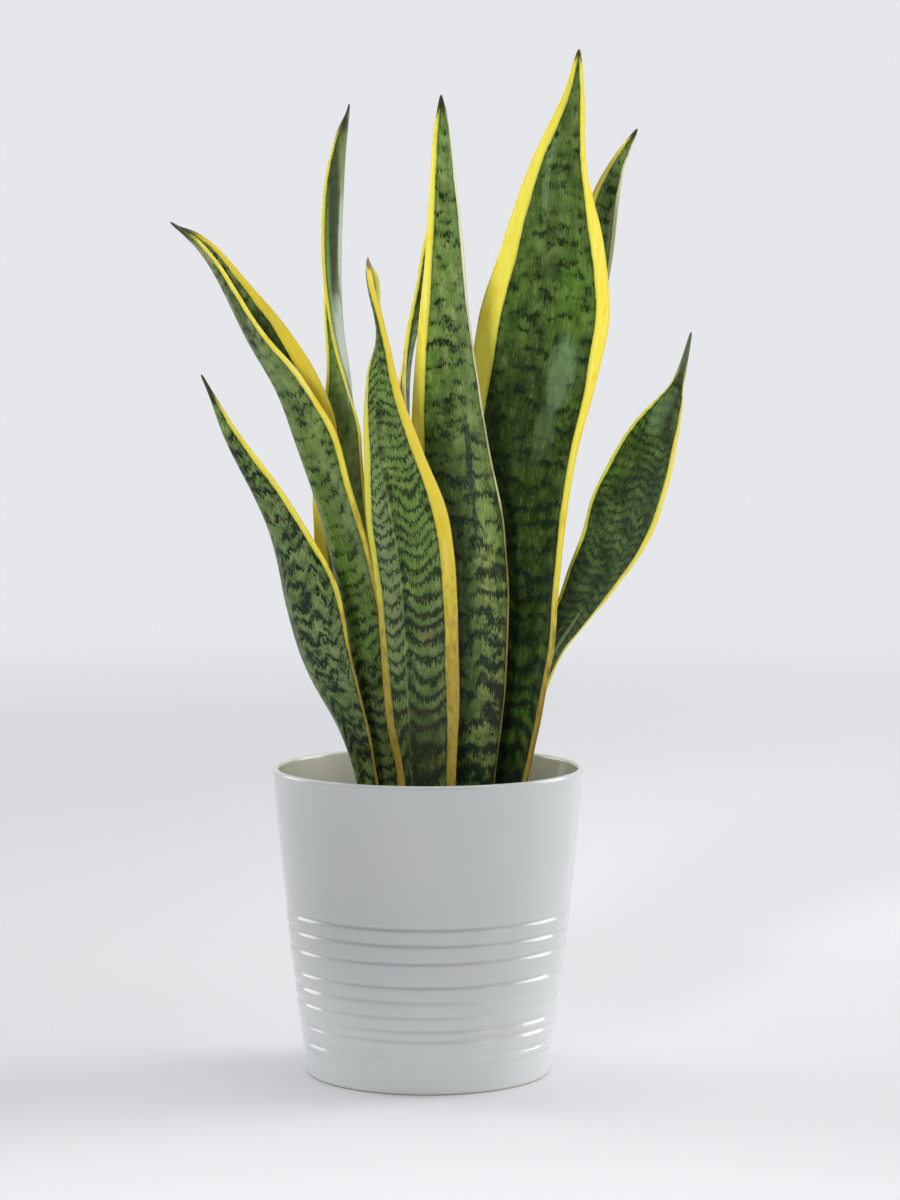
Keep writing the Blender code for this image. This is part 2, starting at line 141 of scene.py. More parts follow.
LEAVES = [
    Leaf("leaf_front", 1.0, [
        Station(134, 0, -26, 32, 180, 72, 5.5, 5.5),
        Station(184, -1, -28, 38, 180, 66, 6.5, 5.5),
        Station(223, -3, -31, 47, 180, 62, 8.4, 5.2),
        Station(266, -5, -35, 50, 180, 58, 9.0, 4.4),
        Station(332, -11, -42, 52, 180, 56, 9.0, 3.8),
        Station(381, -21, -48, 37, 178, 60, 6.4, 4.4),
        Station(427, -28, -52, 20, 165, 75, 4.0, 2.6),
        Station(457, -29, -54, 11, 110, 110, 2.6, 1.8),
        Station(482, -34, -55, 16, 75, 120, 3.6, 3.2),
        Station(497, -35, -55, 1.6, 75, 120, 0.4, 0.4),
    ], Markings(
        spacing=(5.0, 22), dark=(0.24, 0.60), arch=(5.5, 24, 15), garland=(1.2, 8),
        blotch=(0.2, 0.28), contrast=0.85, pale=0.7, sage=(0.5, 0.8), deep=(0.0, 0.35),
        dull=290, tip=(BROWN_TIP, 9), seed=1, sides=((0.5, HONEY), (0.55, LIME)),
        keel=(8.0, -0.45)), [
        # Painted sheen: the pale sage wing that faces the light
        Patch(16, 315, 8, 110, 0.5, 0.3, SAGE),
        Patch(-5, 335, 12, 55, 0.3, 0.3, LEAF_GREEN),
        Patch(-6, 269, 3, 6, 0.5, 0.5, RUST),
        Patch(0, 205, 12, 24, 0.5, 0.5, UMBER, True),
    ]),
    Leaf("leaf_short_left", 1.5, [
        Station(134, -31, -19, 16, 150, 90, 1.0, 2.0),
        Station(182, -39, -22, 18, 148, 95, 1.0, 2.0),
        Station(214, -49, -25, 28, 145, 100, 1.0, 1.6),
        Station(242, -63, -29, 44, 142, 105, 1.2, 1.8),
        Station(291, -78, -36, 55, 140, 105, 2.2, 3.2),
        Station(334, -90, -41, 36, 138, 105, 3.0, 3.4),
        Station(367, -106, -46, 25, 135, 105, 2.6, 3.0),
        Station(397, -121, -49, 13, 130, 110, 1.6, 2.2),
        Station(420, -130, -50, 4.2, 125, 120, 0.4, 0.5),
        Station(428, -134, -50, 1.6, 125, 120, 0.1, 0.1),
    ], Markings(
        spacing=(11, 12), dark=(0.42, 0.50), arch=(2.0, 16, 16), garland=(5.0, 8),
        blotch=(0.6, 0.65), contrast=1.0, pale=0.7, sage=(0.8, 0.65), deep=(0.15, 0.2),
        dull=285, tip=(GREEN_TIP, 22), seed=2), [
        Patch(-8, 262, 14, 34, 0.35, 0.5, SAGE),
        Patch(6, 384, 8, 40, 0.4, 0.3, LEAF_GREEN),
    ]),
    Leaf("leaf_long_left", 3.0, [
        Station(134, -24, -6, 20, 150, 80, 1.6, 2.4),
        Station(180, -31, -7, 29, 145, 85, 1.6, 3.0),
        Station(236, -41, -9, 45, 138, 95, 1.8, 4.0),
        Station(300, -53, -12, 47, 125, 110, 2.4, 6.0),
        Station(347, -65, -14, 50, 110, 120, 2.8, 7.5),
        Station(390, -80, -14, 64, 88, 140, 3.0, 9.5),
        Station(418, -90, -14, 56, 74, 140, 3.0, 9.0),
        Station(445, -105, -13, 50, 66, 125, 2.6, 6.8),
        Station(481, -123, -12, 28, 62, 125, 2.0, 3.6),
        Station(505, -139, -10, 15, 60, 130, 1.4, 1.8),
        Station(519, -155, -10, 1.4, 60, 140, 0.1, 0.1),
    ], Markings(
        spacing=(9, 9), dark=(0.26, 0.50), arch=(2.0, 20, 20), garland=(2.0, 8),
        blotch=(0.55, 0.45), contrast=0.9, pale=0.7, sage=(0.8, 0.3), deep=(0.0, 0.1),
        dull=335, tip=(GREEN_TIP, 22), seed=3, sides=(SAME, (0.6, HONEY))), [
        Patch(2, 280, 18, 50, 0.5, 0.4, LEAF_GREEN),
        Patch(-24, 290, 4, 60, 0.7, 0.2, RUST),
        Patch(-8, 496, 2.5, 6, 0.8, 0.3, DRY),
        Patch(17, 430, 9, 60, 0.8, 0.3, DEEP_GREEN),
        Patch(-12, 466, 6, 30, 0.6, 0.3, DEEP_GREEN),
        Patch(-19, 335, 2.6, 60, 0.3, 0.5, SAGE, True),
    ]),
    Leaf("leaf_twisted", 2.5, [
        Station(134, -30, 21, 18, 10, 80, 2.4, 2.4),
        Station(176, -34, 23, 20, 10, 80, 2.4, 2.4),
        Station(232, -40, 27, 29, 10, 75, 4.0, 2.0),
        Station(287, -49, 33, 39, 5, 70, 8.0, 2.0),
        Station(337, -54, 38, 39, 0, 70, 8.0, 1.8),
        Station(386, -53, 42, 33, -15, 70, 2.6, 1.6),
        Station(419, -50, 45, 30, -55, 105, 1.6, 1.2),
        Station(448, -53, 47, 26, -72, 120, 1.4, 1.0),
        Station(504, -55, 52, 29, -95, 130, 1.4, 1.1),
        Station(537, -54, 55, 27, -100, 130, 1.4, 1.0),
        Station(571, -52, 57, 15, -105, 120, 1.2, 0.8),
        Station(594, -49, 58, 1.4, -105, 130, 0.1, 0.1),
    ], Markings(
        spacing=(12, 9), dark=(0.12, 0.35), arch=(1.0, 20, 20), garland=(2.0, 8),
        blotch=(0.6, 0.6), contrast=0.5, pale=0.5, sage=(0.7, 0.6), deep=(0.0, 0.0),
        dull=240, tip=(GREEN_TIP, 26), seed=4), [
        Patch(7.2, 528, 3.6, 66, 0.85, 0.1, CHARCOAL, True),
        # Painted reflection and painted sheen: the grey-white and pale patches below
        Patch(2, 505, 2.2, 34, 0.75, 0.1, PAINTED_REFLECTION, True),
        Patch(10.4, 470, 1.2, 50, 0.4, 0.1, PAINTED_SHEEN, True),
        Patch(6, 440, 6, 34, 0.8, 0.12, PAINTED_REFLECTION, True),
    ]),
    Leaf("leaf_tall_middle", 0.8, [
        Station(134, 24, -4, 30, 190, 76, 1.4, 4.0),
        Station(180, 26, -5, 36, 190, 70, 1.4, 4.5),
        Station(220, 26, -6, 47, 192, 66, 1.4, 5.0),
        Station(272, 25, -8, 57, 195, 62, 1.5, 6.0),
        Station(319, 22, -9, 62, 195, 60, 1.5, 7.0),
        Station(384, 15, -10, 51, 195, 58, 1.4, 7.6),
        Station(430, 12, -10, 41, 195, 58, 1.5, 6.4),
        Station(496, 11, -10, 26, 195, 62, 2.4, 4.2),
        Station(537, 10, -10, 19, 195, 70, 2.2, 3.4),
        Station(571, 9, -10, 12, 192, 90, 1.4, 2.4),
        Station(595, 8, -10, 1.4, 190, 120, 0.1, 0.1),
    ], Markings(
        spacing=(12, 17), dark=(0.16, 0.60), arch=(1.5, 40, 40), garland=(1.4, 9),
        blotch=(0.62, 0.45), contrast=0.95, pale=0.8, sage=(0.3, 0.4), deep=(0.0, 0.35),
        dull=345, tip=(GREEN_TIP, 16), seed=5, sides=((0.75, BLEACHED), (0.2, LIME)),
        keel=(-4.0, 0.0)), [
        Patch(-9.5, 345, 2.6, 60, 0.9, 0.5, TEAL),
        Patch(-16, 330, 7, 40, 0.6, 0.7, STRAW),
        Patch(-15, 262, 9, 75, 0.75, 1, STRAW),
        Patch(8, 325, 15, 100, 0.65, 0.35, DEEP_GREEN),
        Patch(-6, 205, 10, 16, 0.6, 0.6, STRAW),
    ]),
    Leaf("leaf_broad", 0.8, [
        Station(134, 39, 16, 36, -20, 82, 5.0, 3.0),
        Station(177, 43, 18, 47, -20, 75, 5.5, 3.2),
        Station(217, 47, 21, 59, -22, 65, 6.5, 3.4),
        Station(266, 51, 25, 70, -24, 60, 7.5, 3.6),
        Station(313, 53, 28, 73, -22, 55, 8.5, 4.0),
        Station(368, 57, 32, 77, -20, 52, 10.5, 4.4),
        Station(417, 65, 36, 82, -15, 50, 12.5, 5.6),
        Station(454, 72, 39, 84, -12, 48, 13.0, 8.4),
        Station(505, 78, 43, 66, -8, 48, 10.0, 8.6),
        Station(554, 81, 46, 37, -5, 55, 6.2, 3.2),
        Station(589, 88, 49, 19, -3, 70, 4.4, 2.2),
        Station(608, 91, 50, 11, 0, 100, 3.0, 2.0),
        Station(627, 93, 50, 1.4, 0, 140, 0.4, 0.4),
    ], Markings(
        spacing=(12, 15), dark=(0.18, 0.60), arch=(2.0, 64, 64), garland=(1.2, 12),
        blotch=(0.75, 0.30), contrast=0.9, pale=0.2, sage=(0.5, 0.1), deep=(0.40, 0.97),
        dull=270, tip=(AWL_TIP, 9), seed=6, sides=((0.2, LIME), SAME)), [
        # Painted sheen: the three pale patches below, one of them a streak beside the point
        Patch(16, 430, 9, 24, 0.36, 0.3, PAINTED_SHEEN, True),
        Patch(12, 392, 7, 18, 0.16, 0.4, PAINTED_SHEEN, True),
        Patch(-7, 552, 2.6, 36, 0.3, 0.1, PAINTED_SHEEN),
        Patch(20, 480, 16, 30, 0.3, 0.3, LEAF_GREEN),
        # Partly painted shade: these dark patches and the deep setting darken the middle and the
        # foot, partly as the leaf's own olive and partly as painted shadow of the leaves in
        # front
        Patch(-8, 385, 34, 62, 0.7, 0.5, DEEP_GREEN),
        Patch(0, 300, 34, 50, 0.4, 0.5, DEEP_GREEN),
        Patch(20, 215, 8, 18, 0.6, 0.5, LEAF_GREEN),
    ]),
    Leaf("leaf_back_right", 1.0, [
        Station(134, 46, 44, 17, 20, 80, 2, 2),
        Station(173, 46, 47, 20, 20, 75, 2.5, 2),
        Station(229, 48, 54, 27, 20, 65, 3, 2),
        Station(298, 57, 64, 31, 18, 60, 4, 2),
        Station(372, 73, 75, 31, 15, 60, 5, 2),
        Station(443, 89, 84, 30, 12, 60, 3.4, 1.4),
        Station(501, 104, 91, 25, 10, 60, 3.6, 1.6),
        Station(536, 111, 95, 19, 10, 70, 3.0, 1.4),
        Station(556, 118, 98, 12, 10, 90, 1.8, 0.5),
        Station(581, 132, 101, 1.4, 10, 120, 0.1, 0.1),
    ], Markings(
        spacing=(10, 12), dark=(0.34, 0.5), arch=(1.5, 20, 20), garland=(2.0, 8),
        blotch=(0.5, 0.5), contrast=0.85, pale=0.2, sage=(0.6, 0.2), deep=(0.0, 0.1),
        dull=300, tip=(AWL_TIP, 10), seed=7, sides=(SAME, (0.85, BLEACHED))), [
        # Painted sheen along the blade
        Patch(8.5, 530, 2.2, 36, 0.7, 0.2, PAINTED_SHEEN, True),
    ]),
    Leaf("leaf_back_middle", 1.5, [
        Station(134, -9, 42, 16, 0, 80, 1.6, 1.6),
        Station(174, -10, 44, 19, 0, 75, 1.8, 1.8),
        Station(229, -14, 52, 25, -5, 70, 1.8, 1.8),
        Station(285, -16, 60, 29, -20, 65, 1.8, 1.8),
        Station(348, -16, 68, 29, -45, 70, 1.8, 1.8),
        Station(398, -14, 74, 25, -70, 80, 1.8, 1.8),
        Station(440, -11, 79, 18, -95, 90, 1.8, 1.8),
        Station(473, -4, 84, 13, -130, 90, 1.6, 1.6),
        Station(502, 1, 88, 12, -140, 90, 1.4, 1.4),
        Station(534, 5, 92, 1.4, -140, 120, 0.1, 0.1),
    ], Markings(
        spacing=(10, 10), dark=(0.5, 0.6), arch=(1.5, 20, 20), garland=(2.0, 8),
        blotch=(0.5, 0.5), contrast=0.6, pale=0.1, sage=(0.1, 0.1), deep=(0.3, 0.5),
        dull=420, tip=(GREEN_TIP, 12), seed=8), []),
    Leaf("leaf_short_right", 0.8, [
        Station(134, 53, 28, 16, 195, 80, 2, 1.5),
        Station(176, 55, 29, 19, 195, 75, 2, 1.5),
        Station(214, 60, 31, 19, 195, 65, 2.2, 1.6),
        Station(258, 77, 33, 20, 195, 60, 2.2, 1.2),
        Station(281, 92, 33, 28, 197, 55, 3.0, 1.3),
        Station(300, 103, 32, 37, 197, 52, 4.0, 1.4),
        Station(322, 115, 31, 44, 197, 50, 4.6, 1.5),
        Station(342, 123, 29, 49, 196, 50, 4.8, 1.5),
        Station(367, 132, 27, 44, 195, 52, 4.8, 1.5),
        Station(391, 141, 25, 33, 194, 56, 3.8, 1.4),
        Station(409, 149, 23, 19, 192, 70, 2.2, 0.9),
        Station(424, 154, 21, 7.5, 190, 100, 0.9, 0.5),
        Station(453, 161, 20, 1.4, 190, 120, 0.1, 0.1),
    ], Markings(
        spacing=(6.4, 6.4), dark=(0.38, 0.42), arch=(3.4, 15, 15), garland=(0.9, 6),
        blotch=(0.1, 0.1), contrast=0.8, pale=0.1, sage=(0.3, 0.1), deep=(0.68, 0.72),
        dull=150, tip=(GREY_TIP, 34), seed=9, sides=(SAME, (0.6, LIME))), [
        # Painted sheen near the point, and a painted highlight on the crease near the foot
        Patch(4, 404, 5, 18, 0.22, 0.3, PAINTED_SHEEN, True),
        Patch(-2, 262, 1.2, 24, 0.7, 0.1, SAGE, True),
    ]),
]

# The blade's own sizes, as in the frame
EDGE_THICKNESS = 1.0
BLADE_THICKNESS = 2.8
BASE_THICKNESS = 4.6
THICK_BASE_SHARE = 0.3
NEEDLE_THICKNESS = 0.7
THICKNESS_PER_WIDTH = 0.18
NEEDLE_WIDTH = 1.3
FOLD_FADE = (2.5, 13.0)
RIM_STEPS = 3
POINT_LENGTH = 2.5

# Low relief on a blade: flutes along it, waves near its edges and the midrib's ridge
FLUTE_HEIGHT = 0.10
FLUTE_SPACING = 6.5
FLUTE_DRIFT = 60
WAVE_LENGTH = 26
RIDGE_WIDTH = 1.1

# How near a blade's last ring stands to its tip, and how the rings crowd towards it
TIP_GAP = 0.02
RING_CROWDING = 1.15

# The pot's outline, as in the frame
BASE_RADIUS = 74.5
BELLY = 0.00013
WALL = 3.7
FLOOR = 8.0
FOOT_ROUND = 2.5
INNER_ROUND = 7.0
FOOT_RING = (64.0, 70.0)
FOOT_RECESS = 1.2

# Grooves round the pot's lower half: height, half width, depth, and the share by which the
# depth changes round the pot
Groove = namedtuple("Groove", "z half_width depth change")
GROOVES = [
    Groove(16.8, 2.4, 0.5, 0.6),
    Groove(22.9, 2.4, 0.5, 0.6),
    Groove(33.5, 2.2, 0.6, 0.5),
    Groove(40.2, 2.2, 0.6, 0.6),
    Groove(48.2, 2.6, 0.6, 0.5),
    Groove(57.6, 2.8, 0.65, 0.5),
    Groove(66.8, 1.5, 1.0, 0.2),
    Groove(80.8, 1.5, 1.0, 0.1),
    Groove(91.7, 1.5, 1.0, 0.1),
    Groove(101.9, 1.5, 1.0, 0.1),
]

# How far the wall bulges between two grooves, and how far a groove wanders up and down
RIB_BULGE = 0.25
GROOVE_WANDER = 0.35

# Where the pot's outline has close rings for its ribs, how close they are, and the height
# over which the wall is plain
RIBBED_FROM = 3.2
RIBBED_TO = 108.0
RIBBED_STEP = 0.55
RIBS_END = 102.5

# The soil's dome, and how clear its lumps stay of the leaves and of the wall
DOME_HEIGHT = 3.0
DOME_RADIUS = 88.0
LEAF_CLEARANCE = 4.5
WALL_CLEARANCE = 4.0


def colour_of(name, description, red, green, blue):
    """A setting for a colour, whose default is given by screen values."""
    return FloatVectorProperty(name=name, description=description, subtype="COLOR",
                               min=0, max=1, default=tint(red, green, blue))


class LeafLook(bpy.types.PropertyGroup):
    """Sizes and colours of the leaves."""

    green: colour_of("Green", "Leaf between its cross bands", 96, 132, 48)
    sage: colour_of("Sage", "Greyer leaf between the bands", 120, 140, 84)
    pale: colour_of("Pale", "Pale patches between the bands", 150, 164, 98)
    shade: colour_of("Shade", "Wash round the dark bands, and shaded fibres", 36, 54, 20)
    dark: colour_of("Dark", "Core of the dark cross bands", 14, 24, 12)
    margin: colour_of("Margin", "Yellow margin of a leaf", 250, 232, 84)
    gold: colour_of("Gold", "Deeper blotches in the yellow margin", 246, 208, 34)
    cream: colour_of("Cream", "Pale streaks in the yellow margin", 252, 242, 160)
    lime: colour_of("Lime", "Margin where it turns into the green", 180, 186, 66)
    olive: colour_of("Olive", "Margin near the foot of a leaf", 176, 154, 58)
    ink: colour_of("Ink", "Core of the dark bands low on a leaf", 10, 32, 28)
    buff: colour_of("Buff", "Dry fibres in the margin near the foot", 206, 164, 92)
    edge: colour_of("Edge", "Thin dry line along the edge of a leaf", 150, 112, 66)
    fibre: FloatProperty(
        name="Fibre", description="Width of the fibres that comb the bands' edges",
        unit="LENGTH", min=0.0002, default=0.0009)
    undulation: FloatProperty(
        name="Undulation", description="How far a leaf's edges wave out of its surface",
        unit="LENGTH", min=0, default=0.0007)
    rings: IntProperty(
        name="Rings", description="Rings of vertices up a leaf", min=60, default=340)
    columns: IntProperty(
        name="Columns", description="Columns of vertices across one face of a leaf",
        min=9, default=49)


class PotLook(bpy.types.PropertyGroup):
    """Sizes and colours of the pot."""

    glaze: colour_of("Glaze", "White glaze", 208, 211, 211)
    # Painted reflection: the lining tints the inner wall paler and greener, for the leaves'
    # light in the glaze
    lining: colour_of("Lining", "Creamier glaze on the inner wall", 230, 232, 216)
    biscuit: colour_of("Biscuit", "Bare clay under the foot", 214, 204, 186)
    roughness: FloatProperty(
        name="Roughness", description="Roughness of the glaze",
        subtype="FACTOR", min=0, max=1, default=0.16)
    unevenness: FloatProperty(
        name="Unevenness", description="How far the thrown wall strays from round",
        unit="LENGTH", min=0, default=0.0002)
    segments: IntProperty(
        name="Segments", description="Vertices round the pot", min=48, default=256)


class SoilLook(bpy.types.PropertyGroup):
    """Sizes and colours of the soil."""

    peat: colour_of("Peat", "Moist potting soil", 58, 44, 34)
    bark: colour_of("Bark", "Chips of bark in the soil", 112, 78, 50)
    perlite: colour_of("Perlite", "White grains in the soil", 226, 222, 212)
    crumbs: IntProperty(name="Crumbs", description="Loose crumbs of peat", min=0, default=900)
    chips: IntProperty(name="Chips", description="Loose chips of bark", min=0, default=260)
    grains: IntProperty(name="Grains", description="White grains", min=0, default=90)


class StudioLook(bpy.types.PropertyGroup):
    """The floor, the light and the camera."""

    floor: colour_of("Floor", "Pale floor", 240, 241, 243)
    backdrop: colour_of("Backdrop", "What is seen past the floor", 229, 231, 234)
    behind: FloatProperty(
        name="Light behind", description="Strength of the soft light from behind",
        min=0, default=0.85)
    before: FloatProperty(
        name="Light in front", description="Strength of the soft light from the front",
        min=0, default=0.08)
    distance: FloatProperty(
        name="Camera distance", description="How far in front of the pot the camera stands",
        unit="LENGTH", min=0.5, default=2.1)
    height: FloatProperty(
        name="Camera height", description="Height of the camera over the floor",
        unit="LENGTH", default=0.456)
    aside: FloatProperty(
        name="Camera aside", description="How far right of the pot's middle the camera stands",
        unit="LENGTH", default=0.0134)
    tilt: FloatProperty(
        name="Camera tilt", description="How far the camera looks down",
        subtype="ANGLE", default=radians(4.52))
    lens: FloatProperty(
        name="Lens", description="Focal length in millimetres on a 36 mm frame",
        min=20, default=103.65)


class Value:
    """A socket of a material's nodes. Arithmetic on it adds Math nodes."""

    def __init__(self, finish, socket):
        self.finish = finish
        self.socket = socket

    def math(self, operation, *others):
        """This value put through a Math node with the others."""
        values = dict(enumerate((self, *others)))
        return self.finish.node("ShaderNodeMath", {"operation": operation}, values)

    def __add__(self, other):
        return self.math("ADD", other)

    __radd__ = __add__

    def __sub__(self, other):
        return self.math("SUBTRACT", other)

    def __rsub__(self, other):
        return (self * -1.0).math("ADD", other)

    def __mul__(self, other):
        return self.math("MULTIPLY", other)

    __rmul__ = __mul__

    def __truediv__(self, other):
        return self.math("DIVIDE", other)

    def __pow__(self, other):
        return self.math("POWER", other)

    def cosine(self):
        return self.math("COSINE")

    def absolute(self):
        return self.math("ABSOLUTE")

    def lowest(self, other):
        return self.math("MINIMUM", other)

    def highest(self, other):
        return self.math("MAXIMUM", other)

    def step(self, low, high):
        """A smooth rise from 0 at low to 1 at high, or a fall where low is the greater."""
        return self.finish.node(
            "ShaderNodeMapRange", {"interpolation_type": "SMOOTHSTEP"},
            {"Value": self, "From Min": low, "From Max": high})

    def share(self):
        """This value kept between 0 and 1."""
        return self.lowest(1.0).highest(0.0)

    def also(self, output):
        """Another output of the same node."""
        return Value(self.finish, self.socket.node.outputs[output])


class Finish:
    """The nodes of a material, or of the world, under construction."""

    def __init__(self, holder):
        holder.use_nodes = True
        self.holder = holder
        self.tree = holder.node_tree
        self.shader = self.tree.nodes.get("Principled BSDF")

    def feed(self, socket, value):
        """Link a socket to a value, or set it to a number or colour."""
        if isinstance(value, Value):
            self.tree.links.new(value.socket, socket)
        elif socket.type == "RGBA":
            socket.default_value = (*value, 1.0)
        else:
            socket.default_value = value

    def node(self, kind, settings, inputs, output=0):
        """Any node: its type, its settings, and the values or links of its sockets."""
        made = self.tree.nodes.new(kind)
        for name, value in settings.items():
            setattr(made, name, value)
        for key, value in inputs.items():
            self.feed(made.inputs[key], value)
        return Value(self, made.outputs[output])

    def mix(self, share, first, second):
        """The first colour turned into the second by a share."""
        return self.node("ShaderNodeMix", {"data_type": "RGBA"},
                         {0: share, 6: first, 7: second}, 2)

    def vector(self, x, y):
        """A vector of two numbers, for a pattern on a surface laid flat."""
        return self.node("ShaderNodeCombineXYZ", {}, {"X": x, "Y": y})

    def attribute(self, name):
        """A vector attribute's three numbers."""
        read = self.node("ShaderNodeAttribute", {"attribute_name": name}, {}, "Vector")
        split = self.node("ShaderNodeSeparateXYZ", {}, {"Vector": read}, "X")
        return split, split.also("Y"), split.also("Z")

    def place(self):
        """The surface point in metres."""
        return self.node("ShaderNodeTexCoord", {}, {}, "Object")

    def grain(self, vector, scale, detail, dimensions="3D"):
        """Noise between about -1 and 1 that is 0 on average."""
        noise = self.node(
            "ShaderNodeTexNoise", {"noise_dimensions": dimensions},
            {"Vector": vector, "Scale": scale, "Detail": detail})
        return noise * 4.0 - 2.0

    def bump(self, height, distance, strength):
        """Relief of a height between 0 and 1, as a normal."""
        return self.node("ShaderNodeBump", {}, {
            "Height": height, "Distance": distance, "Strength": strength})

    def close(self, colour, roughness, **others):
        """Feed the Principled shader and return the material."""
        sockets = {"Base Color": colour, "Roughness": roughness}
        sockets.update({name.replace("_", " "): value for name, value in others.items()})
        for name, value in sockets.items():
            self.feed(self.shader.inputs[name], value)
        return self.holder


def new_finish(name):
    """The finish of a new material."""
    return Finish(bpy.data.materials.new(name))


def unit(vectors):
    """Scale each row to length one."""
    return vectors / np.linalg.norm(vectors, axis=-1, keepdims=True)


def smoothstep(low, high, values):
    """A smooth rise from 0 at low to 1 at high: three times the square less twice the cube."""
    share = np.clip((values - low) / (high - low), 0, 1)
    return share * share * (3 - 2 * share)


def drift(values, seed, size):
    """A smooth wander between -1 and 1.

    Random heights stand on a line, a size apart, and each value reads between its two
    neighbours by a smooth step.
    """
    heights = np.random.default_rng(seed).uniform(-1, 1, 512)
    place = np.asarray(values) / size + 128
    cell = np.floor(place).astype(int)
    share = smoothstep(0, 1, place - cell)
    return heights[cell % 512] * (1 - share) + heights[(cell + 1) % 512] * share


def relief(x, y, seed, size):
    """A smooth field between -1 and 1: random heights on a square lattice, joined smoothly."""
    heights = np.random.default_rng(seed).uniform(-1, 1, (256, 256))
    across, up = x / size + 96, y / size + 96
    i, j = np.floor(across).astype(int), np.floor(up).astype(int)
    a, b = smoothstep(0, 1, across - i), smoothstep(0, 1, up - j)
    near = heights[i % 256, j % 256] * (1 - a) + heights[(i + 1) % 256, j % 256] * a
    far = heights[i % 256, (j + 1) % 256] * (1 - a) + heights[(i + 1) % 256, (j + 1) % 256] * a
    return near * (1 - b) + far * b


def smooth_curve(knots, values, at):
    """Natural cubic spline: solve for the second derivatives, then evaluate each piece."""
    count = len(knots)
    step = np.diff(knots)
    slope = np.diff(values) / step
    inner = np.arange(1, count - 1)
    system = np.eye(count)
    system[inner, inner - 1] = step[:-1]
    system[inner, inner] = 2 * (step[:-1] + step[1:])
    system[inner, inner + 1] = step[1:]
    right = np.zeros(count)
    right[inner] = 6 * np.diff(slope)
    bend = np.linalg.solve(system, right)
    k = np.clip(np.searchsorted(knots, at, side="right") - 1, 0, count - 2)
    s = at - knots[k]
    return (values[k] + s * (slope[k] - step[k] * (2 * bend[k] + bend[k + 1]) / 6)
            + s**2 * bend[k] / 2 + s**3 * (bend[k + 1] - bend[k]) / (6 * step[k]))


def steady_curve(knots, values, at):
    """Cubic through the stations that never swings past them: slopes are harmonic means."""
    step = np.diff(knots)
    slope = np.diff(values) / step
    before = 2 * step[1:] + step[:-1]
    after = step[1:] + 2 * step[:-1]
    same_way = slope[:-1] * slope[1:] > 0
    safe = np.where(same_way, slope[:-1] * slope[1:], 1.0)
    middle = (before + after) * safe / (before * slope[1:] + after * slope[:-1] + (~same_way))
    tangent = np.concatenate([slope[:1], np.where(same_way, middle, 0.0), slope[-1:]])
    k = np.clip(np.searchsorted(knots, at, side="right") - 1, 0, len(knots) - 2)
    s = np.clip((at - knots[k]) / step[k], 0.0, 1.0)
    return ((1 + 2 * s) * (1 - s)**2 * values[k] + s * (1 - s)**2 * step[k] * tangent[k]
            + s**2 * (3 - 2 * s) * values[k + 1] + s**2 * (s - 1) * step[k] * tangent[k + 1])


def grid_faces(rings, around):
    """Quads that join each ring of vertices to the next, closed round, facing outwards."""
    ring = np.arange(rings - 1)[:, None] * around
    k = np.arange(around)[None]
    following = (k + 1) % around
    return np.stack([ring + k, ring + following, ring + around + following,
                     ring + around + k], axis=-1).reshape(-1, 4)


def cap_faces(centre, start, around, outward):
    """Triangles that close a ring of vertices to one centre."""
    k = np.arange(around)
    following = (k + 1) % around
    middle = np.full(around, centre)
    order = [middle, start + k, start + following] if outward else [
        middle, start + following, start + k]
    return np.stack(order, axis=-1)


def make_mesh(name, points, quads, triangles):
    """A smooth mesh of points in millimetres, with its quads and triangles."""
    mesh = bpy.data.meshes.new(name)
    corners = np.concatenate([quads.ravel(), triangles.ravel()]).astype(np.int32)
    sizes = np.concatenate([np.full(len(quads), 4), np.full(len(triangles), 3)])
    starts = np.concatenate([[0], np.cumsum(sizes)[:-1]]).astype(np.int32)
    mesh.vertices.add(len(points))
    mesh.vertices.foreach_set("co", (points * MM).astype(np.float32).ravel())
    mesh.loops.add(len(corners))
    mesh.loops.foreach_set("vertex_index", corners)
    mesh.polygons.add(len(sizes))
    mesh.polygons.foreach_set("loop_start", starts)
    mesh.update(calc_edges=True)
    mesh.validate()
    mesh.shade_smooth()
    return mesh


def turned(radius, turn, z):
    """Points at a radius and an angle round the upright axis, at a height."""
    return np.stack(np.broadcast_arrays(radius * np.cos(turn), radius * np.sin(turn), z), -1)


def closed_mesh(name, rows, first, last):
    """Rings of points as one closed surface, with a point to close the rings at each end."""
    rings, around = rows.shape[:2]
    points = np.concatenate([rows.reshape(-1, 3), [first, last]])
    triangles = np.concatenate([
        cap_faces(rings * around, 0, around, False),
        cap_faces(rings * around + 1, (rings - 1) * around, around, True)])
    return make_mesh(name, points, grid_faces(rings, around), triangles)


def add_piece(name, mesh, material, slot, *nodes):
    """Show a mesh as a piece that rides on the plant's body and stands for its CAD nodes."""
    mesh.materials.append(material)
    piece = bpy.data.objects.new(name, mesh)
    bpy.context.scene.collection.objects.link(piece)
    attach(piece, BODY)
    if nodes:
        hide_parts(*nodes)
    return piece


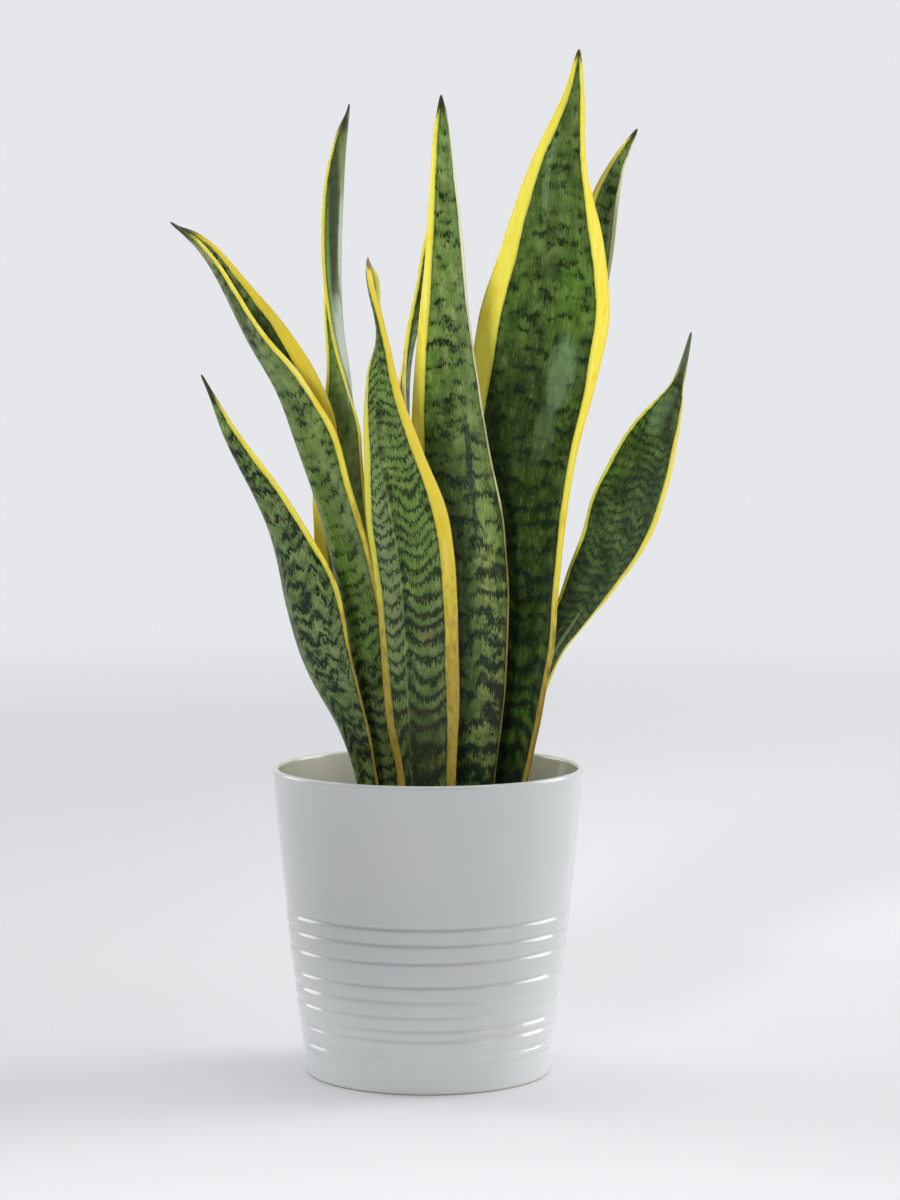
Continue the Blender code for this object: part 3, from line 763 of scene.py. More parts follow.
def leaf_course(leaf, at):
    """How a leaf runs at distances up its middle line.

    The middle line is a smooth curve through the stations. The side direction is the level
    direction square to the facing, tilted until it is square to the line too, and the front
    direction is square to both. The fold opens out where the blade narrows to its needle.
    Returns places, width, fold, side, front and the two margins' widths.
    """
    rows = np.array(leaf.stations, dtype=float)
    line = rows[:, [1, 2, 0]]
    knots = leaf_knots(leaf)
    place = np.stack([smooth_curve(knots, line[:, k], at) for k in range(3)], axis=1)
    ahead = np.stack([smooth_curve(knots, line[:, k], at + 0.5) for k in range(3)], axis=1)
    along = unit(ahead - place)
    width, facing, fold, left, right = (
        steady_curve(knots, rows[:, k], at) for k in range(3, 8))
    width = np.maximum(width, NEEDLE_WIDTH)
    facing = np.radians(facing)
    fold = np.radians(fold) * smoothstep(*FOLD_FADE, width)
    level = np.stack([np.cos(facing), np.sin(facing), np.zeros_like(facing)], axis=1)
    side = unit(level - (level * along).sum(axis=1, keepdims=True) * along)
    return place, width, fold, side, np.cross(side, along), left, right


def leaf_knots(leaf):
    """The stations' distances up the middle line."""
    line = np.array([(s.x, s.y, s.z) for s in leaf.stations], dtype=float)
    steps = np.linalg.norm(np.diff(line, axis=0), axis=1)
    return np.concatenate([[0.0], np.cumsum(steps)])


def leaf_length(leaf):
    """Length of the middle line, from station to station."""
    return leaf_knots(leaf)[-1]


def channel_section(fold, crease, u):
    """Gutter-shaped sections of a blade one unit wide.

    The blade's direction turns from minus half to plus half the fold across the width, as a
    hyperbolic tangent, so a high crease keeps both wings flat and turns at the middle line.
    Summing its cosine and sine gives the place of each column.
    """
    angle = fold[:, None] / 2 * np.tanh(crease * u) / np.tanh(crease)
    gap = np.diff(u) / 2
    sums = []
    for part in (np.cos(angle), np.sin(angle)):
        total = np.zeros_like(angle)
        total[:, 1:] = np.cumsum((part[:, 1:] + part[:, :-1]) * gap, axis=1)
        sums.append((total - total[:, len(u) // 2][:, None]) / 2)
    return *sums, angle


def half_thickness(share, width, u):
    """Half the blade's thickness at shares of its length, by an ellipse across the blade.

    It grows with the width up to a limit, which is greater near the foot, and falls to the
    edge's own thickness at both sides.
    """
    base = np.clip(1 - share / THICK_BASE_SHARE, 0, 1)
    thickest = BLADE_THICKNESS + (BASE_THICKNESS - BLADE_THICKNESS) * base
    middle = np.minimum(thickest, NEEDLE_THICKNESS + THICKNESS_PER_WIDTH * width) / 2
    edge = np.minimum(middle, EDGE_THICKNESS / 2)
    return edge[:, None] + (middle - edge)[:, None] * np.sqrt(1 - u * u), edge


def blade_relief(marks, look, at, width, u, laid, midrib):
    """How far a blade stands out of its plain sheet, on its hollow side.

    Flutes are a cosine of the distance across, waves grow with the cube of it towards the
    edges, and the midrib's ridge is a bell curve. All fade out at the foot and in the point.
    """
    seed = marks.seed * 10
    wander = 2 * drift(at, seed, FLUTE_DRIFT)[:, None]
    flutes = FLUTE_HEIGHT * np.cos(2 * pi * laid / FLUTE_SPACING + wander)
    waves = (drift(at, seed + 1, WAVE_LENGTH)[:, None] * np.clip(u, 0, 1) ** 3
             + drift(at, seed + 2, WAVE_LENGTH)[:, None] * np.clip(-u, 0, 1) ** 3)
    ridge = marks.keel[1] * np.exp(-((laid - midrib) / RIDGE_WIDTH) ** 2)
    fade = smoothstep(4, 20, width)[:, None] * smoothstep(0, 40, at)[:, None]
    return (flutes + waves * look.undulation / MM + ridge) * fade


def leaf_mesh(leaf, look):
    """A blade as one closed surface, with its pattern coordinates.

    Across the blade, columns stand closer to the edges: each is a mean of an even place and
    the sine of it. The channel section gives the sheet, which the relief moves along its
    normal, and the two faces lie half a thickness to either side. A half circle of edge
    thickness joins them at each edge. The tip closes to a point along half an ellipse, and the
    foot closes flat, down in the soil.
    """
    length = leaf_length(leaf)
    share = np.linspace(0, 1, look.rings)
    at = (length - TIP_GAP) * (1 - (1 - share) ** RING_CROWDING)
    even = np.linspace(-1, 1, look.columns)
    u = (even + np.sin(even * pi / 2)) / 2
    place, width, fold, side, front, left, right = leaf_course(leaf, at)
    point = np.sqrt(np.clip(1 - (1 - (length - at) / POINT_LENGTH).clip(0) ** 2, 0, 1))
    half, edge = half_thickness(at / length, width, u)
    half, edge = half * point[:, None], edge * point
    broad = (width * point - 2 * edge)[:, None]
    across, rise, angle = channel_section(fold, leaf.crease, u)
    side, front = side[:, None], front[:, None]
    normal = np.cos(angle)[..., None] * front - np.sin(angle)[..., None] * side
    outward = np.cos(angle)[..., None] * side + np.sin(angle)[..., None] * front
    sheet = place[:, None] + broad[..., None] * (
        across[..., None] * side + rise[..., None] * front)
    midrib = leaf.markings.keel[0] * smoothstep(14, 40, width)[:, None]
    lift = blade_relief(leaf.markings, look, at, width, u, u * broad / 2, midrib)
    sheet = sheet + normal * lift[..., None]
    hollow = sheet + normal * half[..., None]
    outer = sheet - normal * half[..., None]
    turn = np.linspace(0, pi, RIM_STEPS + 2)[1:-1]
    rims = []
    for column, way in ((-1, 1), (0, -1)):
        rounding = (np.cos(turn)[None, :, None] * normal[:, column][:, None]
                    + way * np.sin(turn)[None, :, None] * outward[:, column][:, None])
        rims.append(sheet[:, column][:, None] + rounding * edge[:, None, None])
    loops = np.concatenate([hollow, rims[0], outer[:, ::-1], rims[1][:, ::-1]], axis=1)
    tip_point = place[-1] + unit(place[-1] - place[-2]) * TIP_GAP
    mesh = closed_mesh(leaf.name, loops, place[0], tip_point)
    ends = np.ones(RIM_STEPS)
    cross = np.concatenate([u, ends, u[::-1], -ends])[None] * (broad / 2)
    inside = np.minimum(cross + broad / 2 - left[:, None], broad / 2 - cross - right[:, None])
    up = np.broadcast_to(at[:, None], cross.shape)
    give_vectors(mesh, "blade", cross, up, broad / 2 - np.abs(cross))
    give_vectors(mesh, "zones", inside, length - up, cross - midrib)
    return mesh


def give_vectors(mesh, name, *parts):
    """Store three numbers a vertex. The two closing vertices repeat the first and last ones."""
    table = np.stack([np.concatenate([p.ravel(), [p.flat[0], p.flat[-1]]]) for p in parts], 1)
    layer = mesh.attributes.new(name, "FLOAT_VECTOR", "POINT")
    layer.data.foreach_set("vector", table.astype(np.float32).ravel())


class Skin:
    """A leaf's waxy skin, marked in coordinates across and up the blade in millimetres.

    across runs from the middle line, up from the foot, rim in from the nearer edge, inside in
    from the margin, from_tip down from the tip, and wing from the midrib. height is the share
    of the length. fibres, comb, teeth and streaks are noises drawn out along the blade, each
    of its own width, which fray what they are added to. shift sets one leaf's noises apart
    from another's.
    """

    def __init__(self, leaf, look):
        self.leaf = leaf
        self.look = look
        self.marks = leaf.markings
        self.length = leaf_length(leaf)
        self.shift = self.marks.seed * 37.3
        self.finish = new_finish(leaf.name + "_skin")
        self.across, self.up, self.rim = self.finish.attribute("blade")
        self.inside, self.from_tip, self.wing = self.finish.attribute("zones")
        self.height = self.up / self.length
        fibre = look.fibre / MM
        self.fibres = self.field(fibre, 16.0)
        self.comb = self.field(fibre * 0.8, 3.4, 1.0, 3.1)
        self.teeth = self.field(fibre * 1.7, 6.5, 1.0, 4.3)
        self.streaks = self.field(2.4, 45.0, 1.0, 5.7)

    def field(self, wide, tall, detail=1.0, more=0.0):
        """Noise whose features are so wide across the blade and so tall along it."""
        spot = self.finish.vector(self.across / wide + (self.shift + more),
                                  self.up / tall + (self.shift - more))
        return self.finish.grain(spot, 1.0, detail, "2D")

    def graded(self, tip, foot):
        """A number that changes evenly from the foot to the tip."""
        return self.height * (tip - foot) + foot

    def lay_patches(self, surface, over):
        """The leaf's patches on a surface, some of them painted sheen, highlight or shade: soft
        ellipses, frayed along the fibres.
        """
        knots = leaf_knots(self.leaf)
        heights = [station.z for station in self.leaf.stations]
        for number, patch in enumerate(self.leaf.patches):
            if patch.over != over:
                continue
            place = float(np.interp(patch.z, heights, knots))
            from_middle = (self.across - patch.across) / patch.wide
            from_height = (self.up - place) / patch.tall
            ragged = self.field(4.0, 9.0, 1.0, 31.0 + number) * patch.ragged
            reach = (from_middle * from_middle + from_height * from_height
                     + self.fibres * 0.12 + ragged)
            surface = self.finish.mix(reach.step(1.5, 0.2) * patch.share, surface,
                                      tint(*patch.colour))
        return surface

    def bands(self):
        """How far a point lies above the level where the dark marks start.

        The distance up the blade is shifted by a cosine of the distance from the midrib, which
        makes the bands sag, by noise that is wide up the leaf, which makes them wander, and by
        noise a fibre wide, which combs their edges. The phase of the bands is a square of that
        distance, so that their spacing changes from the foot to the tip. A cosine of the phase
        is mixed with blotches of noise.
        """
        marks = self.marks
        sag, left_wide, right_wide = marks.arch
        garland, loop = marks.garland
        top_spacing, foot_spacing = marks.spacing
        tip_share, foot_share = marks.dark
        turn = (self.wing.lowest(0.0) * (2 * pi / left_wide)
                + self.wing.highest(0.0) * (2 * pi / right_wide))
        warped = (self.up - turn.cosine() * (sag / 2)
                  + self.field(loop, 90.0, 0.0, 7.9) * garland
                  + self.comb * 1.4 + self.teeth * 1.3)
        closing = (1 / top_spacing - 1 / foot_spacing) / (2 * self.length)
        phase = (warped * (warped * closing + 1 / foot_spacing)
                 + self.field(22.0, 34.0, 1.0, 9.3) * 0.4)
        if marks.keel[1]:
            phase = phase + self.wing.step(-0.4, 0.4) * 0.3
        wave = (phase * (2 * pi)).cosine() + (phase * (4 * pi)).cosine() * 0.15
        spot = self.finish.vector(self.across / 6.5 + self.shift,
                                  warped / (top_spacing * 0.34) + self.shift)
        blotches = self.finish.grain(spot, 1.0, 2.0, "2D")
        loose = self.graded(*marks.blotch)
        strength = (wave * (1 - loose) + blotches * loose * 1.5
                    + self.field(15.0, 24.0, 0.0, 11.0) * 0.3
                    + self.comb * 0.4 + self.teeth * 0.15)
        return strength - self.graded(cos(pi * tip_share), cos(pi * foot_share))

    def ground(self, above):
        """The green between the marks: greyer, paler and deeper in places, and combed."""
        marks, look, mix = self.marks, self.look, self.finish.mix
        grey = (self.field(13.0, 70.0, 0.0, 15.0) * 0.25 + self.graded(*marks.sage)).share()
        clumps = self.field(6.0, 15.0, 2.0, 13.0) + self.fibres * 0.8 - above * 0.3
        deep = (self.field(9.0, 14.0, 1.0, 21.0) * 0.3 + self.graded(*marks.deep)).share()
        shaded = (self.fibres + self.streaks * 0.5 + self.comb * 0.5).step(-0.2, 1.3) * 0.45
        lit = (self.comb * 0.7 - self.fibres).step(0.4, 1.5) * 0.35
        ground = mix(grey, look.green, look.sage)
        ground = mix(clumps.step(0.1, 1.4) * marks.pale, ground, look.pale)
        ground = mix(deep, ground, look.shade)
        ground = self.lay_patches(ground, False)
        ground = mix(shaded, ground, look.shade)
        return mix(lit, ground, look.pale)

    def marked(self, above, core):
        """The ground with its dark marks, each a soft wash round a dark core, and the patches
        that lie over them, painted sheen and painted highlights among them.
        """
        marks, look, mix = self.marks, self.look, self.finish.mix
        wash = above.step(-0.8, 0.3) * (0.55 * marks.contrast)
        marked = mix(wash, self.ground(above), look.shade)
        low = (self.field(18.0, 30.0, 0.0, 33.0) + self.height - 0.5).step(0.4, -0.5)
        marked = mix(core, marked, mix(low, look.dark, look.ink))
        specks = (self.field(1.1, 2.8, 1.0, 37.0) + self.fibres * 0.5).step(0.5, 1.7)
        marked = mix(specks * (1.1 - self.height) * marks.pale * 0.8, marked, look.sage)
        if marks.keel[1]:
            marked = self.midrib(marked)
        return self.lay_patches(marked, True)

    def midrib(self, surface):
        """A broken dark fringe to the left of the midrib, and a broken painted highlight on it.
        """
        broken = self.field(30.0, 9.0, 2.0, 35.0)
        fringe = (self.wing + 1.8 + self.comb * 1.4 + broken * 0.8).absolute()
        surface = self.finish.mix(fringe.step(2.8, 0.8) * (broken.step(-0.8, 0.5) * 0.7),
                                  surface, self.look.dark)
        # Painted highlight: a pale line along the midrib's ridge
        painted_glint = (self.wing - 0.3 + self.comb * 0.15).absolute().step(0.9, 0.1)
        low = (self.height + broken * 0.05).step(0.78, 0.62)
        return self.finish.mix(painted_glint * low * (broken.step(0.9, -0.7) * 0.6), surface,
                               self.look.pale)

    def margin(self, border):
        """The margin: gold blotches and pale streaks on yellow, olive towards the foot."""
        marks, look, mix = self.marks, self.look, self.finish.mix
        golden = (self.field(7.0, 15.0, 2.0, 17.0) + self.fibres * 0.3).step(0.1, 1.1) * 0.8
        yellow = mix(golden, look.margin, look.gold)
        pale = (self.fibres * 0.6 + self.streaks).step(0.2, 1.4) * 0.5
        yellow = mix(pale, yellow, look.cream)
        yellow = mix(border.step(-2.2, 0.1) * 0.65, yellow, look.lime)
        sides = [self.across.step(1.0, -1.0), self.across.step(-1.0, 1.0)]
        for side, (share, colour) in zip(sides, marks.sides):
            if share:
                yellow = mix(side * share, yellow, tint(*colour))
        dull_at = (marks.dull - self.leaf.stations[0].z) * 1.02
        ragged_up = self.up + self.field(3.5, 9.0, 1.0, 19.0) * 22.0
        dull = ragged_up.step(dull_at + 35.0, dull_at - 45.0)
        dry = (self.field(3.0, 20.0, 1.0, 27.0) + self.fibres * 0.7).step(0.0, 1.2) * 0.7
        mottled = (self.field(2.0, 6.0, 1.0, 25.0) + self.fibres * 0.5).step(-0.1, 1.2) * 0.45
        olive = mix(mottled, mix(dry, look.olive, look.buff), look.shade)
        yellow = mix(dull * 0.85, yellow, olive)
        return mix(self.rim.step(0.75, 0.1) * (dull * 0.5 + 0.15), yellow, look.edge)


def leaf_finish(leaf, look):
    """The leaf's skin: the marked green inside a shaded line, the margin, and the point."""
    skin = Skin(leaf, look)
    finish = skin.finish
    above = skin.bands()
    core = above.step(-0.12, 0.42) * (0.92 * skin.marks.contrast)
    border = skin.inside + skin.comb * 0.12 + skin.streaks * 0.3
    lining = (border - 0.8).absolute().step(0.8, 0.0) * 0.45
    marked = finish.mix(lining, skin.marked(above, core), look.shade)
    colour = finish.mix(border.step(0.4, -0.4), marked, skin.margin(border))
    point_tint, reach = skin.marks.tip
    point = (skin.from_tip + skin.comb * 1.5 + skin.rim * 0.8).step(reach * 1.1, reach * 0.45)
    colour = finish.mix(point * 0.95, colour, tint(*point_tint))
    fine_relief = skin.fibres * 0.25 + skin.teeth * 0.2 + core * -0.3 + 0.5
    rough = core * -0.04 + skin.fibres * 0.03 + 0.38
    return finish.close(
        colour, rough, Normal=finish.bump(fine_relief, 0.0001, 0.6),
        Coat_Weight=0.05, Coat_Roughness=0.2, Specular_IOR_Level=0.2)


def wall_radius(z):
    """Radius of the pot's outside at a height: a cone that swells a little, as a parabola."""
    flare = (RIM_RADIUS - BASE_RADIUS) / POT_HEIGHT + BELLY * POT_HEIGHT
    return BASE_RADIUS + flare * z - BELLY * z * z


def arc(centre, radius, start, end, steps):
    """Points along an arc in the half section, with angles from the outward direction."""
    angles = np.linspace(start, end, steps)
    return np.stack([centre[0] + radius * np.cos(angles),
                     centre[1] + radius * np.sin(angles)], axis=1)


def pot_outline():
    """Half section of the pot without its grooves, from the middle of its underside round to
    the middle of its inner floor, with closer points where the grooves are."""
    foot = arc((wall_radius(FOOT_ROUND) - FOOT_ROUND, FOOT_ROUND), FOOT_ROUND, -pi / 2, 0, 7)
    inner, outer = FOOT_RING
    recess = [(inner * s, FOOT_RECESS) for s in (0.35, 0.7, 0.95)]
    ring = [(inner, FOOT_RECESS * 0.85), (inner + 0.8, 0.2), (inner + 1.6, 0.0), (outer, 0.0)]
    ribbed = np.arange(RIBBED_FROM, RIBBED_TO, RIBBED_STEP)
    plain = np.linspace(RIBBED_TO, POT_HEIGHT - WALL, 24)
    wall = np.concatenate([ribbed, plain])
    lip_height = POT_HEIGHT - WALL / 2
    lip = arc((wall_radius(lip_height) - WALL / 2, lip_height), WALL / 2, 0, pi, 13)
    inside = np.linspace(POT_HEIGHT - WALL, FLOOR + INNER_ROUND + 2, 20)
    corner_height = FLOOR + INNER_ROUND
    corner = arc((wall_radius(corner_height) - WALL - INNER_ROUND, corner_height),
                 INNER_ROUND, 0, -pi / 2, 7)
    floor = [(corner[-1, 0] * s, FLOOR) for s in (0.7, 0.35)]
    return np.concatenate([
        recess, ring, foot,
        np.stack([wall_radius(wall), wall], axis=1), lip,
        np.stack([wall_radius(inside) - WALL, inside], axis=1), corner, floor])


def groove_depth(z, turn):
    """How deep the grooves cut at heights round the pot.

    Each groove is a bell curve. Its depth swells and fades once or twice round the pot, and
    its height wanders a little, as the marks of a tool do. Between grooves the wall bulges as
    half a sine.
    """
    depth = np.zeros(np.broadcast(z, turn).shape)
    for number, groove in enumerate(GROOVES):
        height = groove.z + GROOVE_WANDER * np.sin(turn + number * 2.1)
        swell = 1 + groove.change * np.sin(turn * (1 + number % 2) + number * 1.3)
        reach = (z - height) / groove.half_width
        depth += groove.depth * swell * np.exp(-2.2 * reach * reach)
    heights = [groove.z for groove in GROOVES]
    count = np.interp(z, heights, np.arange(len(heights)))
    bulge = RIB_BULGE * np.abs(np.sin(pi * count))
    between = (z > heights[0]) & (z < heights[-1])
    return depth - bulge * between


def pot_mesh(look):
    """The outline turned round the upright axis, less the grooves on the outer wall."""
    outline = pot_outline()
    turn = np.linspace(0, 2 * pi, look.segments, endpoint=False)[None]
    r, z = outline[:, :1], outline[:, 1:]
    ribbed = (z < RIBS_END) & (r > wall_radius(z) - 1.0)
    cut = groove_depth(z, turn) * ribbed * smoothstep(4, 12, z)
    wander = (np.sin(2 * turn + z / 60) + 0.5 * np.sin(3 * turn - z / 35)) * ribbed
    around = r - cut + wander * look.unevenness / MM * smoothstep(0, 40, z)
    return closed_mesh("pot", turned(around, turn, z), (0, 0, FOOT_RECESS), (0, 0, FLOOR))


def glaze_finish(look):
    """White glaze: glossy, clouded, with fine specks, paler and greener inside as a painted
    reflection of the leaves, and bare under the foot.

    The inner wall is where the distance from the upright axis falls short of the outer wall's
    cone by more than half the wall.
    """
    finish = new_finish("white_glaze")
    place = finish.place()
    x = finish.node("ShaderNodeSeparateXYZ", {}, {"Vector": place}, "X")
    y = x.also("Y")
    z = x.also("Z")
    slope = (RIM_RADIUS - BASE_RADIUS) / POT_HEIGHT
    short = z * slope + BASE_RADIUS * MM - (x * x + y * y) ** 0.5
    cloud = finish.grain(place, 14.0, 2.0)
    specks = finish.grain(place, 900.0, 1.0)
    warm = finish.mix((cloud * 0.5 + 0.5).step(0.0, 1.0) * 0.35,
                      look.glaze, tint(216, 217, 213))
    speckled = finish.mix(specks.step(1.55, 1.75) * 0.35, warm, tint(190, 186, 178))
    inner = short.step(0.4 * WALL * MM, 0.8 * WALL * MM) * z.step(FLOOR * MM, 2 * FLOOR * MM)
    # Painted reflection: the inner wall takes the paler, greener lining colour
    with_painted_inner_tint = finish.mix(inner, speckled, look.lining)
    bare = z.step(0.0010, 0.0003)
    colour = finish.mix(bare, with_painted_inner_tint, look.biscuit)
    rough = bare * 0.6 + cloud * 0.02 + look.roughness
    dimples = finish.grain(place, 55.0, 1.0) * 0.5 + 0.5
    return finish.close(colour, rough, Normal=finish.bump(dimples, 0.0002, 0.10),
                        Coat_Weight=0.6, Coat_Roughness=0.04, Specular_IOR_Level=0.5)


def soil_height(x, y):
    """Height of the soil: a low dome with hollows, lumps and fine crumbs of noise."""
    radius = np.hypot(x, y)
    dome = DOME_HEIGHT * (1 - (radius / DOME_RADIUS) ** 2)
    lumps = (1.6 * relief(x, y, 11, 17.0) + 1.1 * relief(x, y, 12, 6.5)
             + 0.8 * np.abs(relief(x, y, 13, 3.2)) + 0.45 * relief(x, y, 14, 1.7))
    return SOIL_TOP - DOME_HEIGHT + dome * 0.8 - 0.6 + lumps


def soil_mesh():
    """The soil as a closed disc: its top by the height field, its side inside the pot."""
    rings, around = 150, 320
    turn = np.linspace(0, 2 * pi, around, endpoint=False)[None]
    edge = wall_radius(SOIL_TOP) - WALL - 0.4
    radius = np.linspace(0.35, edge, rings)[:, None]
    x, y = radius * np.cos(turn), radius * np.sin(turn)
    top = np.stack([x, y, soil_height(x, y)], axis=-1)[::-1]
    low = []
    for z in (SOIL_TOP - 12, SOIL_TOP - 60, FLOOR + INNER_ROUND, FLOOR + 0.5):
        r = wall_radius(z) - WALL - (0.6 if z > FLOOR + 2 else INNER_ROUND)
        low.append(turned(r, turn, z))
    rows = np.concatenate([*low[::-1], top])
    summit = (0, 0, soil_height(0.0, 0.0))
    return closed_mesh("soil", rows, (0, 0, FLOOR + 0.5), summit)


def leaf_feet():
    """Points across every leaf's foot where it meets the soil, for keeping crumbs clear."""
    feet = []
    for leaf in LEAVES:
        u = np.linspace(-1, 1, 9)
        at = np.full(1, SOIL_TOP - leaf.stations[0].z)
        place, width, fold, side, front, *_ = leaf_course(leaf, at)
        across, rise, _ = channel_section(fold, leaf.crease, u)
        feet.append(place + width[:, None] * (across.T * side + rise.T * front))
    return np.concatenate(feet)


def strewn_spots(count, seed):
    """Random spots on the soil, even over its area, clear of the wall and of the leaves."""
    rng = np.random.default_rng(seed)
    reach = wall_radius(SOIL_TOP) - WALL - WALL_CLEARANCE
    radius = reach * np.sqrt(rng.uniform(0, 1, count * 2))
    turn = rng.uniform(0, 2 * pi, count * 2)
    spots = np.stack([radius * np.cos(turn), radius * np.sin(turn)], axis=1)
    gap = np.linalg.norm(spots[:, None] - leaf_feet()[None, :, :2], axis=2).min(axis=1)
    return spots[gap > LEAF_CLEARANCE][:count], rng


def ball():
    """Vertices and triangles of a coarse ball of radius one."""
    bm = bmesh.new()
    bmesh.ops.create_icosphere(bm, subdivisions=2, radius=1.0)
    points = np.array([v.co for v in bm.verts])
    faces = np.array([[v.index for v in face.verts] for face in bm.faces])
    bm.free()
    return points, faces


def lump_mesh(name, count, seed, size, stretch, roundness):
    """Loose lumps as one mesh: balls, each dented at random, stretched, turned and set down.

    A random unit quaternion turns each lump, and its middle lies a quarter of its least half
    size above the soil.
    """
    points, faces = ball()
    spots, rng = strewn_spots(count, seed)
    count = len(spots)
    dents = 1 - (1 - roundness) * rng.uniform(0, 0.8, (count, len(points), 1))
    scale = rng.uniform(*size, (count, 1, 1)) * (1 + (np.array(stretch) - 1)
                                                 * rng.uniform(0.5, 1, (count, 1, 1)))
    q = unit(rng.normal(size=(count, 4)) * [1, 0.35, 0.35, 1])[:, None]
    shaped = points[None] * dents * scale
    axis, turn = q[..., 1:], q[..., :1]
    cross = np.cross(np.broadcast_to(axis, shaped.shape), shaped)
    turned = shaped + 2 * turn * cross + 2 * np.cross(np.broadcast_to(axis, cross.shape), cross)
    ground = soil_height(spots[:, 0], spots[:, 1])
    lift = ground + 0.25 * scale[:, 0].min(axis=-1)
    placed = turned + np.concatenate([spots, lift[:, None]], axis=1)[:, None]
    numbered = faces[None] + (np.arange(count) * len(points))[:, None, None]
    return make_mesh(name, placed.reshape(-1, 3), np.zeros((0, 4), int),
                     numbered.reshape(-1, 3))


def earth_finish(name, colour, contrast, roughness):
    """Crumbly earth: a colour broken up by noise of two sizes, with a coarse relief."""
    finish = new_finish(name)
    place = finish.place()
    coarse = finish.grain(place, 160.0, 3.0)
    fine = finish.grain(place, 900.0, 2.0)
    shade = (coarse * 0.5 + fine * 0.35 + 0.5).step(0.0, 1.0)
    dark = tuple(c * (1 - contrast) for c in colour)
    light = tuple(min(1.0, c * (1 + contrast)) for c in colour)
    blend = finish.mix(shade, dark, light)
    rough = fine * 0.05 + roughness
    return finish.close(blend, rough, Normal=finish.bump(fine * 0.5 + 0.5, 0.0006, 0.7),
                        Specular_IOR_Level=0.25)


def floor_mesh(radius):
    """A flat disc of a radius in metres for the floor, as rings of vertices round a middle."""
    around = 96
    turn = np.linspace(0, 2 * pi, around, endpoint=False)
    rings = np.array([1.0, 0.5, 0.2])[:, None] * radius / MM
    points = np.concatenate([turned(rings, turn, 0.0).reshape(-1, 3), [[0, 0, 0]]])
    triangles = cap_faces(3 * around, 2 * around, around, True)
    return make_mesh("floor", points, grid_faces(3, around), triangles)


def floor_finish(look):
    """Pale matt floor that fades out into the backdrop with the distance from the pot."""
    finish = new_finish("pale_floor")
    distance = finish.node("ShaderNodeVectorMath", {"operation": "LENGTH"},
                           {0: finish.place()}, "Value")
    fade = distance.step(0.9, 3.2)
    finish.close(look.floor, 0.9, Specular_IOR_Level=0.0)
    clear = finish.node("ShaderNodeBsdfTransparent", {}, {})
    solid = Value(finish, finish.shader.outputs[0])
    seen = finish.node("ShaderNodeMixShader", {}, {0: fade, 1: solid, 2: clear})
    finish.feed(finish.tree.nodes["Material Output"].inputs["Surface"], seen)
    return finish.holder


def light_world(look):
    """Soft light from all round, stronger from behind, and a plain pale backdrop for the eye."""
    world = bpy.data.worlds.new("studio_air")
    bpy.context.scene.world = world
    finish = Finish(world)
    finish.tree.nodes.clear()
    direction = finish.node("ShaderNodeTexCoord", {}, {}, "Generated")
    backward = finish.node("ShaderNodeSeparateXYZ", {}, {"Vector": direction}, "Y")
    upward = backward.also("Z")
    strength = backward.step(-0.6, 0.7) * (look.behind - look.before) + look.before
    strength = strength * (upward.step(-0.6, 0.4) * 0.4 + 0.6)
    light = finish.node("ShaderNodeBackground", {}, {
        "Color": (0.97, 0.985, 1.0), "Strength": strength})
    seen = finish.node("ShaderNodeBackground", {}, {
        "Color": look.backdrop, "Strength": 1.0})
    camera_ray = finish.node("ShaderNodeLightPath", {}, {}, "Is Camera Ray")
    both = finish.node("ShaderNodeMixShader", {}, {0: camera_ray, 1: light, 2: seen})
    output = finish.tree.nodes.new("ShaderNodeOutputWorld")
    finish.feed(output.inputs["Surface"], both)


def stand_light(lamp, place, target):
    """Stand a lamp at a place, looking at a target."""
    light = bpy.data.objects.new(lamp.name, lamp)
    bpy.context.scene.collection.objects.link(light)
    light.location = place
    light.rotation_euler = (Vector(target) - Vector(place)).to_track_quat("-Z", "Y").to_euler()
    return light


def add_softbox(name, place, target, size, power):
    """A rectangular area light that the camera doesn't see."""
    lamp = bpy.data.lights.new(name, "AREA")
    lamp.shape = "RECTANGLE"
    lamp.size, lamp.size_y = size
    lamp.energy = power
    stand_light(lamp, place, target).visible_camera = False


def add_spot(name, place, target, angle, radius, power):
    """A spot of a radius that fades out towards its cone's edge and leaves no highlight."""
    lamp = bpy.data.lights.new(name, "SPOT")
    lamp.energy = power
    lamp.shadow_soft_size = radius
    lamp.spot_size = radians(angle)
    lamp.spot_blend = 0.9
    stand_light(lamp, place, target).visible_glossy = False


def add_camera(look):
    """The camera straight in front, a little above the leaves' middle and tilted down."""
    camera = bpy.data.cameras.new("camera")
    camera.sensor_width = 36.0
    camera.lens = look.lens
    camera.clip_start = 0.05
    eye = bpy.data.objects.new("camera", camera)
    bpy.context.scene.collection.objects.link(eye)
    eye.location = (look.aside, -look.distance, look.height)
    eye.rotation_euler = (pi / 2 - look.tilt, 0, 0)
    bpy.context.scene.camera = eye


class PLANT_OT_pot(bpy.types.Operator):
    """Turn the glazed pot"""

    bl_idname = "plant.pot"
    bl_label = "Pot"

    def execute(self, context):
        look = context.scene.plant_pot
        add_piece("pot_glazed", pot_mesh(look), glaze_finish(look), "glaze", "pot")
        return {"FINISHED"}


